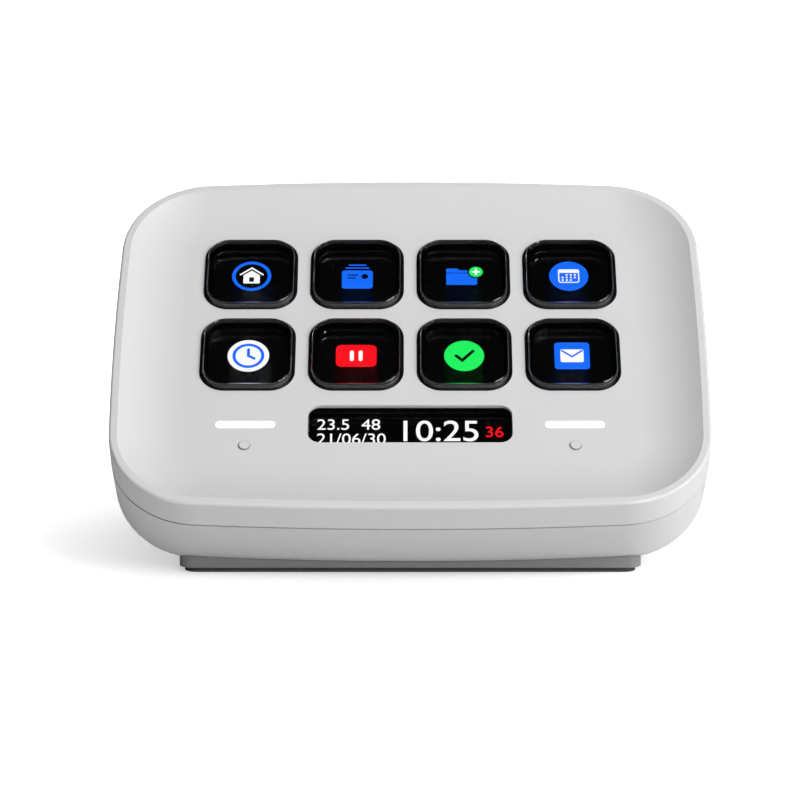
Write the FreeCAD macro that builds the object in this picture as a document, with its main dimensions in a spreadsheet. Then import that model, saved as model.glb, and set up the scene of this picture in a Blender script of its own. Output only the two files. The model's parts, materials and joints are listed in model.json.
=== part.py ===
import FreeCAD, Part
import math
import os
import re
import Sketcher
from FreeCAD import Placement, Rotation, Vector

# Desk keypad with eight clear display keys and a fixed stand.
# The body is a dished slab that leans back. Its pieces are drawn in the slab's
# own frame: X to the right, Y up the face, Z out of the face, zero on the flat
# of the face at its middle. The stand and the foot are drawn as they stand on
# the table. The part's origin is the middle of the foot's bottom face, +Z up.

SIZES = [
    ("tilt", 38.64, "lean of the face, degrees from level"),
    ("body_width", 107.2, "body, side to side"),
    ("body_height", 78.7, "body, along the face"),
    ("corner", 16.4, "corner radius of the outline"),
    ("side_bow", 700.0, "radius of the bowed sides"),
    ("edge_bow", 720.0, "radius of the bowed top and bottom edges"),
    ("wall", 2.0, "wall of both housings"),
    ("rim_rise", 2.5, "rim above the flat of the face"),
    ("rim_band", 1.5, "flat band along the rim"),
    ("rim_round", 0.5, "rounding of the rim's outer edge"),
    ("dish_width", 10.5, "width of the cove between rim band and flat"),
    ("seam_drop", 3.4, "lower edge of the top housing, below the flat"),
    ("seam_gap", 0.4, "shadow gap between the housings"),
    ("tongue_rise", 1.2, "height of the tongue that closes the seam"),
    ("tongue_thick", 0.8, "thickness of the tongue"),
    ("fit", 0.1, "clearance of pieces that are fixed together"),
    ("rear_depth", 19.2, "depth of the rear housing below the seam"),
    ("rear_taper", 5.3, "how far the rear housing leans in, above and below"),
    ("side_taper", 0.3, "how far the rear housing leans in, at the sides"),
    ("rear_corner", 14.5, "corner radius of the rear housing's back"),
    ("back_round", 9.4, "rounding of the rear housing's back edge"),
    ("pitch", 19.6, "key to key, side to side"),
    ("key_size", 16.0, "clear cap, side to side"),
    ("key_gap", 0.2, "running gap round a cap"),
    ("key_corner", 4.0, "corner radius of a cap"),
    ("collar", 0.4, "wall of the black collar round a cap"),
    ("key_rise", 1.3, "top of a cap above the flat"),
    ("key_round", 0.7, "rounding of a cap's top edge"),
    ("key_travel", 0.8, "travel of a key"),
    ("slip", 0.15, "clearance under and over moving pieces"),
    ("frame_web", 0.5, "thickness of the key frame's web"),
    ("face_thin", 1.2, "face thickness over the key frame"),
    ("flange_out", 1.3, "how far the skirt's flange stands out of the cap"),
    ("flange_thick", 0.6, "thickness of the skirt's flange"),
    ("flange_lap", 0.75, "how far the skirt reaches in under the cap"),
    ("film_thick", 0.1, "thickness of the switch film"),
    ("sheet_thick", 0.15, "thickness of the dome sheet's web"),
    ("dome_wall", 0.7, "wall of the sheet's raised domes"),
    ("dome_out", 0.9, "how far a raised dome stands out of the cap"),
    ("lcd_width", 80.0, "main display panel, width"),
    ("lcd_below_top", 11.82, "main display panel below the body's top edge"),
    ("lcd_above_bottom", 27.68, "main display panel above the body's bottom edge"),
    ("lcd_thick", 2.0, "thickness of both display panels"),
    ("frame_wall", 0.8, "key frame's wall round the panel"),
    ("play", 0.2, "clearance of the panels in their places"),
    ("window_width", 36.4, "display strip window, width"),
    ("window_height", 8.6, "display strip window, height"),
    ("window_corner", 2.2, "display strip window, corner radius"),
    ("window_edge", 21.11, "window's middle above the body's bottom edge"),
    ("lens_recess", 0.5, "window lens below the flat"),
    ("lens_flange", 1.0, "how far the lens reaches behind the face"),
    ("lens_flange_thick", 1.0, "thickness of the lens's flange"),
    ("info_side", 0.8, "strip display panel beyond the window, at each side"),
    ("info_end", 0.9, "strip display panel beyond the window, above and below"),
    ("bar_length", 10.6, "light bar, length"),
    ("bar_width", 1.6, "light bar, width"),
    ("bar_out", 29.3, "light bar's middle from the centre line"),
    ("bar_edge", 20.95, "light bar's middle above the body's bottom edge"),
    ("pipe_flange", 1.2, "how far the light pipe's flange stands out"),
    ("dot_radius", 0.95, "raised touch dot"),
    ("dot_rise", 0.3, "height of the touch dot"),
    ("dot_edge", 16.05, "touch dot above the body's bottom edge"),
    ("contact_radius", 2.4, "touch contact's disc"),
    ("contact_thick", 0.3, "thickness of the touch contact's disc"),
    ("contact_post", 1.4, "radius of the touch contact's post"),
    ("board_width", 84.0, "circuit board and support plate, width"),
    ("board_rim", 2.4, "board and plate beyond the frame screws, above and below"),
    ("plate_thick", 1.0, "support plate"),
    ("spacer_height", 4.0, "plate to board"),
    ("board_thick", 1.6, "circuit board"),
    ("frame_screw_out", 34.0, "outer frame screws from the centre line"),
    ("frame_screw_edge", 8.15, "frame screws in from the body's top and bottom edges"),
    ("boss_radius", 2.4, "frame screw bosses"),
    ("spacer_radius", 2.2, "spacers"),
    ("screw_radius", 1.0, "shank of the screws"),
    ("screw_fit", 0.05, "clearance of a screw in its thread hole"),
    ("screw_pass", 0.2, "clearance of a screw in a through hole"),
    ("head_radius", 1.9, "screw heads"),
    ("head_thick", 1.4, "screw heads"),
    ("drive_radius", 0.9, "recess in a screw head, centre to corner"),
    ("case_screw_out", 45.5, "case screws from the centre line"),
    ("case_screw_edge", 19.35, "case screws in from the body's top and bottom edges"),
    ("case_boss_radius", 2.6, "case screw bosses on the top housing"),
    ("case_boss_length", 5.8, "case screw bosses below the face's underside"),
    ("case_post_radius", 3.0, "case screw posts in the rear housing"),
    ("case_post_wall", 6.0, "post under the case screw's head"),
    ("case_bore", 2.4, "radius of the case screws' recesses"),
    ("port_edge", 19.35, "cable inlet below the body's top edge"),
    ("port_width", 8.94, "inlet shell, width"),
    ("port_height", 3.26, "inlet shell, height"),
    ("port_wall", 0.3, "inlet shell, wall"),
    ("port_sunk", 0.6, "inlet's mouth below the back"),
    ("port_play", 0.3, "opening round the inlet shell"),
    ("plug_recess", 1.6, "how far the plug's recess stands out of the opening"),
    ("plug_recess_depth", 0.8, "depth of the plug's recess"),
    ("pad_width", 80.9, "foot pad, width"),
    ("pad_depth", 50.0, "foot pad, depth"),
    ("pad_thick", 1.0, "foot pad, thickness"),
    ("stand_lip", 0.9, "how far the stand stands out over the pad"),
    ("stand_corner", 2.3, "corner radius of stand and pad"),
    ("stand_wall", 2.2, "wall of the stand"),
    ("stand_rear_lip", 3.0, "upright foot of the stand's rear wall"),
    ("stand_front_rise", 2.4, "height of the stand's front before the body"),
    ("stand_top", 12.5, "top of the stand, up the body's back"),
    ("belly_gap", 0.44, "body's lowest line above the pad"),
    ("belly_setback", 2.74, "body's lowest line behind the pad's front edge"),
    ("belly_slot", 4.4, "depth of the slot in the stand under that line"),
    ("stand_screw_out", 28.0, "stand screws from the centre line"),
    ("stand_screw_mid", -3.0, "stand screws' middle, up the body's back"),
    ("stand_screw_apart", 18.0, "stand screws, lower to upper"),
    ("stand_post_radius", 3.0, "posts for the stand screws"),
    ("stand_post_height", 4.0, "posts for the stand screws"),
    ("base_thick", 1.2, "steel base plate"),
    ("base_front", 12.0, "front edge of the base plate before the middle"),
    ("base_screw_out", 34.0, "base screws from the centre line"),
    ("base_screw_front", 8.5, "front base screws before the middle"),
    ("base_screw_rear", 18.5, "rear base screws behind the middle"),
    ("base_post_radius", 2.6, "posts for the base screws"),
    ("base_head_thick", 0.65, "flat heads of the base screws"),
    ("ribbon_thick", 0.25, "flat ribbons"),
    ("ribbon_reach", 1.7, "how far a ribbon stands out from its panel"),
    ("connector_depth", 3.0, "ribbon connectors, front to back"),
    ("connector_height", 1.0, "ribbon connectors, height"),
    ("panel_corner", 1.0, "corner radius of the panels"),
    ("lcd_ribbon_width", 18.0, "main panel's ribbon, width"),
    ("lcd_ribbon_out", 16.0, "main panel's ribbon from the centre line"),
    ("info_ribbon_width", 10.0, "strip panel's ribbon, width"),
    ("thread_depth", 3.0, "depth of the thread holes in the frame screws' bosses"),
    ("thread_end", 1.0, "thread hole beyond a screw's end"),
    ("pipe_flange_thick", 1.0, "thickness of the light pipe's flange"),
    ("pipe_stem_length", 8.0, "light pipe's stem, along the bar"),
    ("pipe_stem_width", 1.4, "light pipe's stem, across the bar"),
    ("lamp_length", 3.2, "lamp under a light pipe, length"),
    ("lamp_width", 2.8, "lamp under a light pipe, width"),
    ("lamp_height", 0.7, "lamp under a light pipe, height"),
    ("drive_share", 0.55, "recess depth over the head's thickness"),
    ("port_base", 3.0, "inlet's insulator on the board"),
    ("port_blade_width", 6.7, "inlet's tongue, width"),
    ("port_blade_thick", 0.7, "inlet's tongue, thickness"),
    ("port_blade_sunk", 0.6, "inlet's tongue below its mouth"),
    ("base_screw_length", 4.0, "shank of the base screws"),
    ("processor_size", 12.0, "processor, side of its square"),
    ("processor_out", 18.0, "processor from the centre line"),
    ("memory_width", 8.0, "memory chip, width"),
    ("memory_height", 10.0, "memory chip, height"),
    ("memory_out", 3.0, "memory chip from the centre line"),
    ("chips_up", 2.0, "both chips above the middle of the board"),
    ("chip_thick", 1.0, "thickness of both chips"),
    ("coil_size", 5.0, "power inductor, side of its square"),
    ("coil_height", 2.4, "power inductor, height"),
    ("coil_corner", 1.0, "power inductor, corner radius"),
    ("coil_out", 16.0, "power inductor from the centre line"),
    ("coil_up", 14.0, "power inductor above the middle of the board"),
    ("capacitor_length", 1.6, "capacitors, length"),
    ("capacitor_width", 0.8, "capacitors, width and height"),
    ("capacitor_out", 31.0, "first capacitor from the centre line"),
    ("capacitor_down", 12.0, "first capacitor below the middle of the board"),
    ("capacitor_step", 5.5, "capacitor to capacitor, side to side"),
    ("capacitor_rows", 2.4, "capacitor to capacitor, row to row"),
]

NAMES = {name for name, number, note in SIZES}

# Sizes that follow from those above, by their formulas
DERIVED = {
    "lcd_height": "body_height - lcd_below_top - lcd_above_bottom",
    "keys_up": "(lcd_above_bottom - lcd_below_top) / 2",
    "row_pitch": "lcd_height / 2",
    "key_length": "key_size + row_pitch - pitch",
    "window_down": "body_height / 2 - window_edge",
    "info_width": "window_width + 2 * info_side",
    "info_height": "window_height + 2 * info_end",
    "bar_down": "body_height / 2 - bar_edge",
    "dot_down": "body_height / 2 - dot_edge",
    "frame_screw_up": "body_height / 2 - frame_screw_edge",
    "board_height": "2 * (frame_screw_up + board_rim)",
    "board_corner": "board_width / 2 - frame_screw_out",
    "case_screw_up": "body_height / 2 - case_screw_edge",
    "port_up": "body_height / 2 - port_edge",
}

doc = FreeCAD.newDocument("Keypad")
sheet = doc.addObject("Spreadsheet::Sheet", "Sizes")
for row, (name, number, note) in enumerate(SIZES, start=1):
    sheet.set(f"A{row}", note)
    sheet.set(f"B{row}", str(number))
    sheet.setAlias(f"B{row}", name)
doc.recompute()


def formula(text):
    """Writes the sheet's name before every size, after opening the sizes that follow from others."""
    def cell(match):
        word = match.group()
        if word in DERIVED:
            return f"({formula(DERIVED[word])})"
        return "Sizes." + word if word in NAMES else word
    return re.sub(r"[a-z][a-z_]*", cell, str(text))


def value(text):
    """Number that a formula gives now."""
    result = sheet.evalExpression(formula(text))
    return float(getattr(result, "Value", result))


def bind(item, name, text):
    item.setExpression(name, formula(text))


# Levels along Z in the slab's frame, from the face down
UNDER_FACE = "-wall"
FRAME_TOP = "-face_thin"
FRAME_UNDER = "-(face_thin + frame_web)"
FLANGE_TOP = "-(face_thin + frame_web + slip)"
FLANGE_UNDER = "-(face_thin + frame_web + slip + flange_thick)"
CAP_UNDER = "-(face_thin + frame_web + 2 * slip + flange_thick)"
SHEET_TOP = "-(face_thin + frame_web + slip + flange_thick + screw_fit)"
FILM_TOP = "-(face_thin + frame_web + 2 * slip + flange_thick + key_travel + fit)"
LCD_TOP = FILM_TOP + " - film_thick"
LCD_UNDER = LCD_TOP + " - lcd_thick"
PLATE_UNDER = LCD_UNDER + " - plate_thick"
BOARD_TOP = PLATE_UNDER + " - spacer_height"
BOARD_UNDER = BOARD_TOP + " - board_thick"
SEAM_TOP = "-seam_drop"
SEAM_UNDER = "-(seam_drop + seam_gap)"
BACK = "-(seam_drop + seam_gap + rear_depth)"
BACK_INSIDE = "-(seam_drop + seam_gap + rear_depth - wall)"

# The middle of the back edge's rounding, in the slab's frame
LEAN = "(rear_taper / rear_depth)"
ROUND_IN = f"({LEAN} * (rear_depth - back_round) + back_round * sqrt(1 + {LEAN}^2))"
ROUND_Y = f"(-(body_height / 2 - {ROUND_IN}))"
ROUND_Z = "(-(seam_drop + seam_gap + rear_depth - back_round))"

# The slab's place: its lowest line lies over the foot pad
BODY_Y = (f"(-pad_depth / 2 + belly_setback - {ROUND_Y} * cos(tilt)"
          f" + {ROUND_Z} * sin(tilt))")
BODY_Z = (f"(pad_thick + belly_gap + back_round - {ROUND_Y} * sin(tilt)"
          f" - {ROUND_Z} * cos(tilt))")


def table_point(up_face, out_of_face):
    """Formulas for Y and Z, as the part stands, of a point of the slab's frame."""
    y = f"({BODY_Y} + ({up_face}) * cos(tilt) - ({out_of_face}) * sin(tilt))"
    z = f"({BODY_Z} + ({up_face}) * sin(tilt) + ({out_of_face}) * cos(tilt))"
    return y, z


def slab_place(x="0", y="0"):
    """Placement of a piece drawn in the slab's frame, moved over the face."""
    lean = Placement(Vector(0, value(BODY_Y), value(BODY_Z)),
                     Rotation(Vector(1, 0, 0), value("tilt")))
    return lean.multiply(Placement(Vector(value(x), value(y), 0), Rotation()))


def new_body(name):
    return doc.addObject("PartDesign::Body", name)


def new_sketch(body, name, x="0", y="0", z="0", plane="XY_Plane"):
    """Sketch on one of the body's planes, with its middle at x, y, z of it."""
    sketch = body.newObject("Sketcher::SketchObject", name)
    origin = [item for item in body.Origin.OriginFeatures if item.Role == plane]
    sketch.AttachmentSupport = [(origin[0], "")]
    sketch.MapMode = "FlatFace"
    bind(sketch, "AttachmentOffset.Base.x", x)
    bind(sketch, "AttachmentOffset.Base.y", y)
    bind(sketch, "AttachmentOffset.Base.z", z)
    return sketch


def constrain(sketch, kind, *numbers, size=None):
    """Adds a constraint, and ties its number to a formula."""
    if size is None:
        return sketch.addConstraint(Sketcher.Constraint(kind, *numbers))
    index = sketch.addConstraint(Sketcher.Constraint(kind, *numbers, value(size)))
    bind(sketch, f"Constraints[{index}]", size)
    return index


def add_arc(sketch, x, y, radius, start, end):
    circle = Part.Circle(Vector(x, y, 0), Vector(0, 0, 1), radius)
    return sketch.addGeometry(Part.ArcOfCircle(circle, start, end), False)


def add_circle(sketch, radius, x="0", y="0"):
    """Circle of a radius about a point of the sketch."""
    circle = Part.Circle(Vector(value(x), value(y), 0), Vector(0, 0, 1), value(radius))
    index = sketch.addGeometry(circle, False)
    constrain(sketch, "Radius", index, size=radius)
    constrain(sketch, "DistanceX", -1, 1, index, 3, size=x)
    constrain(sketch, "DistanceY", -1, 1, index, 3, size=y)


def add_polygon(sketch, points):
    """Closed outline through points given as pairs of formulas."""
    places = [Vector(value(x), value(y), 0) for x, y in points]
    count = len(places)
    for i in range(count):
        sketch.addGeometry(Part.LineSegment(places[i], places[(i + 1) % count]), False)
    for i, (x, y) in enumerate(points):
        constrain(sketch, "Coincident", i, 2, (i + 1) % count, 1)
        constrain(sketch, "DistanceX", -1, 1, i, 1, size=x)
        constrain(sketch, "DistanceY", -1, 1, i, 1, size=y)


def add_rectangle(sketch, width, height, radius):
    """Rectangle with rounded corners about the sketch's middle."""
    first = sketch.GeometryCount
    half_x, half_y, r = value(width) / 2, value(height) / 2, value(radius)
    near_x, near_y = half_x - r, half_y - r
    corners = [(near_x, -near_y, 3), (near_x, near_y, 0), (-near_x, near_y, 1), (-near_x, -near_y, 2)]
    sides = [((-near_x, -half_y), (near_x, -half_y)), ((half_x, -near_y), (half_x, near_y)),
             ((near_x, half_y), (-near_x, half_y)), ((-half_x, near_y), (-half_x, -near_y))]
    for (start, end), (x, y, quarter) in zip(sides, corners):
        sketch.addGeometry(Part.LineSegment(Vector(*start, 0), Vector(*end, 0)), False)
        add_arc(sketch, x, y, r, quarter * math.pi / 2, (quarter + 1) * math.pi / 2)
    for i in range(8):
        constrain(sketch, "Tangent", first + i, 2, first + (i + 1) % 8, 1)
    for i in (0, 4):
        constrain(sketch, "Horizontal", first + i)
        constrain(sketch, "Vertical", first + i + 2)
    for i in (1, 3, 5):
        constrain(sketch, "Equal", first + i, first + i + 2)
    bottom, right, top, left = range(first, first + 8, 2)
    constrain(sketch, "Radius", first + 1, size=radius)
    constrain(sketch, "DistanceX", -1, 1, right, 1, size=f"({width}) / 2")
    constrain(sketch, "DistanceX", left, 1, -1, 1, size=f"({width}) / 2")
    constrain(sketch, "DistanceY", -1, 1, top, 1, size=f"({height}) / 2")
    constrain(sketch, "DistanceY", bottom, 1, -1, 1, size=f"({height}) / 2")


def add_pill(sketch, length, width):
    """Slot with round ends about the sketch's middle, along X."""
    first = sketch.GeometryCount
    r = value(width) / 2
    x = value(length) / 2 - r
    sketch.addGeometry(Part.LineSegment(Vector(-x, -r, 0), Vector(x, -r, 0)), False)
    add_arc(sketch, x, 0, r, -math.pi / 2, math.pi / 2)
    sketch.addGeometry(Part.LineSegment(Vector(x, r, 0), Vector(-x, r, 0)), False)
    add_arc(sketch, -x, 0, r, math.pi / 2, 3 * math.pi / 2)
    for i in range(4):
        constrain(sketch, "Tangent", first + i, 2, first + (i + 1) % 4, 1)
    constrain(sketch, "Horizontal", first)
    constrain(sketch, "Radius", first + 1, size=f"({width}) / 2")
    constrain(sketch, "PointOnObject", first + 1, 3, -1)
    constrain(sketch, "PointOnObject", first + 3, 3, -1)
    constrain(sketch, "DistanceX", -1, 1, first + 1, 3, size=f"(({length}) - ({width})) / 2")
    constrain(sketch, "DistanceX", first + 3, 3, -1, 1, size=f"(({length}) - ({width})) / 2")


def add_key_outline(sketch, grow, radius):
    """Outline of a key's cap, wider and longer by a formula."""
    add_rectangle(sketch, f"key_size + {grow}", f"key_length + {grow}", radius)


def outline_corner(side, edge, radius):
    """Middle of an outline's corner arc, which touches the bowed side and edge from inside.

    Its distance from the middle of each bow is that bow's radius less its own.
    A few Newton steps solve the two circles.
    """
    side_x = value("body_width / 2 - side_bow")
    edge_y = value("body_height / 2 - edge_bow")
    side_r = value(f"side_bow - ({side}) - ({radius})")
    edge_r = value(f"edge_bow - ({edge}) - ({radius})")
    x = value(f"body_width / 2 - ({side}) - ({radius})")
    y = value(f"body_height / 2 - ({edge}) - ({radius})")
    for step in range(20):
        side_far = math.hypot(x - side_x, y)
        edge_far = math.hypot(x, y - edge_y)
        slopes = FreeCAD.Matrix((x - side_x) / side_far, y / side_far, 0, 0,
                                x / edge_far, (y - edge_y) / edge_far, 0, 0)
        move = slopes.inverse().multVec(Vector(side_far - side_r, edge_far - edge_r, 0))
        x -= move.x
        y -= move.y
    return x, y


def add_outline(sketch, side, edge=None, radius=None):
    """Outline of the body, moved inwards: nine arcs that touch, from the right side's middle.

    The top and bottom edges can move by a formula of their own, and the
    corners can have a radius of their own.
    """
    edge = edge or side
    radius = radius or f"corner - ({side})"
    first = sketch.GeometryCount
    x, y = outline_corner(side, edge, radius)
    side_x = value("side_bow - body_width / 2")
    edge_y = value("edge_bow - body_height / 2")
    side_r = value(f"side_bow - ({side})")
    edge_r = value(f"edge_bow - ({edge})")
    corner_r = value(radius)
    low = math.atan2(y, x + side_x)
    high = math.atan2(y + edge_y, x)
    turn = math.pi
    arcs = [
        (-side_x, 0, side_r, 0, low),
        (x, y, corner_r, low, high),
        (0, -edge_y, edge_r, high, turn - high),
        (-x, y, corner_r, turn - high, turn - low),
        (side_x, 0, side_r, turn - low, turn + low),
        (-x, -y, corner_r, turn + low, turn + high),
        (0, edge_y, edge_r, turn + high, 2 * turn - high),
        (x, -y, corner_r, 2 * turn - high, 2 * turn - low),
        (-side_x, 0, side_r, 2 * turn - low, 2 * turn),
    ]
    for arc in arcs:
        add_arc(sketch, *arc)
    last = first + len(arcs) - 1
    for i in range(first, last):
        constrain(sketch, "Tangent", i, 2, i + 1, 1)
    constrain(sketch, "Coincident", last, 2, first, 1)
    constrain(sketch, "Coincident", last, 3, first, 3)
    constrain(sketch, "PointOnObject", first, 1, -1)
    for i in (1, 3, 5):
        constrain(sketch, "Equal", first + i, first + i + 2)
    constrain(sketch, "Equal", first, first + 4)
    constrain(sketch, "Equal", first + 2, first + 6)
    constrain(sketch, "Radius", first + 1, size=radius)
    constrain(sketch, "Radius", first, size=f"side_bow - ({side})")
    constrain(sketch, "Radius", first + 2, size=f"edge_bow - ({edge})")
    constrain(sketch, "PointOnObject", first, 3, -1)
    constrain(sketch, "PointOnObject", first + 4, 3, -1)
    constrain(sketch, "PointOnObject", first + 2, 3, -2)
    constrain(sketch, "PointOnObject", first + 6, 3, -2)
    constrain(sketch, "DistanceX", first, 3, -1, 1, size="side_bow - body_width / 2")
    constrain(sketch, "DistanceX", -1, 1, first + 4, 3, size="side_bow - body_width / 2")
    constrain(sketch, "DistanceY", first + 2, 3, -1, 1, size="edge_bow - body_height / 2")
    constrain(sketch, "DistanceY", -1, 1, first + 6, 3, size="edge_bow - body_height / 2")


def pad(body, sketch, length, down=False, both=False):
    """Grows a sketch along its normal, or against it, or half each way."""
    feature = body.newObject("PartDesign::Pad", sketch.Name + "_pad")
    feature.Profile = sketch
    bind(feature, "Length", length)
    feature.Reversed = down
    feature.Midplane = both
    body.Tip = feature
    return feature


def pocket(body, sketch, length, up=False):
    """Cuts a sketch down from its plane, or up from it."""
    feature = body.newObject("PartDesign::Pocket", sketch.Name + "_pocket")
    feature.Profile = sketch
    bind(feature, "Length", length)
    feature.Reversed = up
    body.Tip = feature
    return feature


def loft(body, kind, *sketches):
    """Straight-sided loft through sketches, from the first to the last."""
    feature = body.newObject("PartDesign::" + kind, sketches[0].Name + "_loft")
    feature.Profile = sketches[0]
    feature.Sections = list(sketches[1:])
    feature.Ruled = True
    body.Tip = feature
    return feature


def revolve(body, sketch):
    """Turns a profile about the sketch's upright axis."""
    feature = body.newObject("PartDesign::Revolution", sketch.Name + "_turn")
    feature.Profile = sketch
    feature.ReferenceAxis = (sketch, ["V_Axis"])
    feature.Angle = 360
    body.Tip = feature
    return feature


def grid(body, features, across, columns, up="pitch", rows=1):
    """Repeats features in evenly spaced columns along X, in one row or two along Y."""
    axes = {item.Role: item for item in body.Origin.OriginFeatures}
    pattern = body.newObject("PartDesign::LinearPattern", features[0].Name + "_grid")
    pattern.Originals = features
    pattern.Direction = (axes["X_Axis"], [""])
    pattern.Mode = "Spacing"
    bind(pattern, "Offset", across)
    pattern.Occurrences = columns
    pattern.Direction2 = (axes["Y_Axis"], [""])
    pattern.Mode2 = "Extent"
    bind(pattern, "Length2", up)
    pattern.Occurrences2 = rows
    body.Tip = pattern
    return pattern


def round_edges(body, feature, radius, chosen):
    """Fillets the feature's edges that a test picks."""
    doc.recompute()
    edges = feature.Shape.Edges
    picked = [f"Edge{i}" for i, edge in enumerate(edges, start=1) if chosen(edge)]
    fillet = body.newObject("PartDesign::Fillet", feature.Name + "_round")
    fillet.Base = (feature, picked)
    bind(fillet, "Radius", radius)
    body.Tip = fillet
    return fillet


def level_edge(height):
    """Test for edges that lie flat at a height."""
    def chosen(edge):
        box = edge.BoundBox
        return abs(box.ZMin - height) < 1e-4 and abs(box.ZMax - height) < 1e-4
    return chosen


def cut(name, base, tool):
    result = doc.addObject("Part::Cut", name)
    result.Base = base
    result.Tool = tool
    return result


PARTS = []


def keep(item, label, place):
    """Names a finished piece and puts it in its place."""
    item.Label = label
    item.Placement = place
    PARTS.append(item)
    return item


def slab_piece(body, label, x="0", y="0"):
    return keep(body, label, slab_place(x, y))


KEY_LEFT = "-1.5 * pitch"
KEY_LOW = "keys_up - row_pitch / 2"
COLLAR_GROW = "2 * (key_gap + collar)"
COLLAR_CORNER = "key_corner + key_gap + collar"
FRAME_WIDTH = "lcd_width + 2 * (play + frame_wall)"
FRAME_HEIGHT = "lcd_height + 2 * (play + frame_wall)"
LENS_WIDTH = "window_width + 2 * lens_flange"
LENS_HEIGHT = "window_height + 2 * lens_flange"
PIPE_UNDER = "-(wall + pipe_flange_thick)"
LAMP_TOP = BOARD_TOP + " + lamp_height"
PORT_MOUTH = BACK + " + port_sunk"
STAND_WIDTH = "(pad_width + 2 * stand_lip)"
STAND_DEPTH = "(pad_depth + 2 * stand_lip)"
STAND_SKIN = BACK + " - screw_fit - stand_wall"
STAND_SCREW_LOW = "stand_screw_mid - stand_screw_apart / 2"
STAND_POST_END = BACK_INSIDE + " + stand_post_height"
BASE_TOP = "pad_thick + base_thick"
BASE_REAR = f"({STAND_DEPTH} / 2 - stand_wall - play)"
THREAD_HOLE = "screw_radius + screw_fit"
PASS_HOLE = "screw_radius + screw_pass"
CASE_BOSS_END = "-(wall + case_boss_length)"
CASE_POST_END = CASE_BOSS_END + " - play"
CASE_HEAD = CASE_POST_END + " - case_post_wall"
FRAME_SCREW_LENGTH = "board_thick + spacer_height + plate_thick + thread_depth - play"
CASE_SCREW_LENGTH = "case_post_wall + thread_depth"
STAND_SCREW_LENGTH = "stand_wall + wall + stand_post_height - 2 * thread_end"

# Ribbons: name, middle, width, the panel's edge that each leaves, and which way it leaves
RIBBONS = [
    ("Lcd", "lcd_ribbon_out", "lcd_ribbon_width", "keys_up + lcd_height / 2", "+"),
    ("Info", "0", "info_ribbon_width", "-window_down - info_height / 2", "-"),
]


def pair(body, feature, out):
    return grid(body, [feature], f"2 * {out}", 2)


def key_grid(body, feature):
    return grid(body, [feature], "pitch", 4, "row_pitch", 2)


def frame_screw_grid(body, *features):
    return grid(body, list(features), "frame_screw_out", 3, "2 * frame_screw_up", 2)


def case_screw_grid(body, *features):
    return grid(body, list(features), "2 * case_screw_out", 2, "2 * case_screw_up", 2)


def stand_screw_grid(body, *features):
    return grid(body, list(features), "2 * stand_screw_out", 2, "stand_screw_apart", 2)


def base_screw_grid(body, *features):
    return grid(body, list(features), "2 * base_screw_out", 2, "base_screw_front + base_screw_rear", 2)


def stand_corner_edge(edge):
    """Test for the edges down the stand's four corners."""
    box = edge.BoundBox
    rear = value(table_point("stand_top", BACK)[0])
    at_front = box.YMax < 1e-4 - value(STAND_DEPTH) / 2
    at_rear = box.YMin > rear - 1e-4
    return box.XLength < 1e-4 and (at_front or at_rear)


# Housings
def cove_profile(sketch):
    """Section of the cove: from the flat, along an arc that starts level, up to the rim and over it."""
    low = "(body_width / 2 - rim_band - dish_width)"
    high = "(body_width / 2 - rim_band)"
    radius = "((dish_width^2 + rim_rise^2) / (2 * rim_rise))"
    x, far_x, r, over = value(low), value(high), value(radius), value("2 * rim_rise")
    sweep = math.asin((far_x - x) / r)
    add_arc(sketch, x, r, r, -math.pi / 2, sweep - math.pi / 2)
    path = [(far_x, value("rim_rise")), (far_x, over), (x, over), (x, 0)]
    for start, end in zip(path, path[1:]):
        sketch.addGeometry(Part.LineSegment(Vector(*start, 0), Vector(*end, 0)), False)
    for i in range(4):
        constrain(sketch, "Coincident", i, 2, (i + 1) % 4, 1)
    constrain(sketch, "Vertical", 1)
    constrain(sketch, "Horizontal", 2)
    constrain(sketch, "Vertical", 3)
    constrain(sketch, "Radius", 0, size=radius)
    constrain(sketch, "DistanceX", -1, 1, 0, 3, size=low)
    constrain(sketch, "DistanceX", -1, 1, 0, 1, size=low)
    constrain(sketch, "DistanceY", -1, 1, 0, 1, size="0")
    constrain(sketch, "DistanceX", -1, 1, 0, 2, size=high)
    constrain(sketch, "DistanceY", -1, 1, 1, 2, size="2 * rim_rise")


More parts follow.
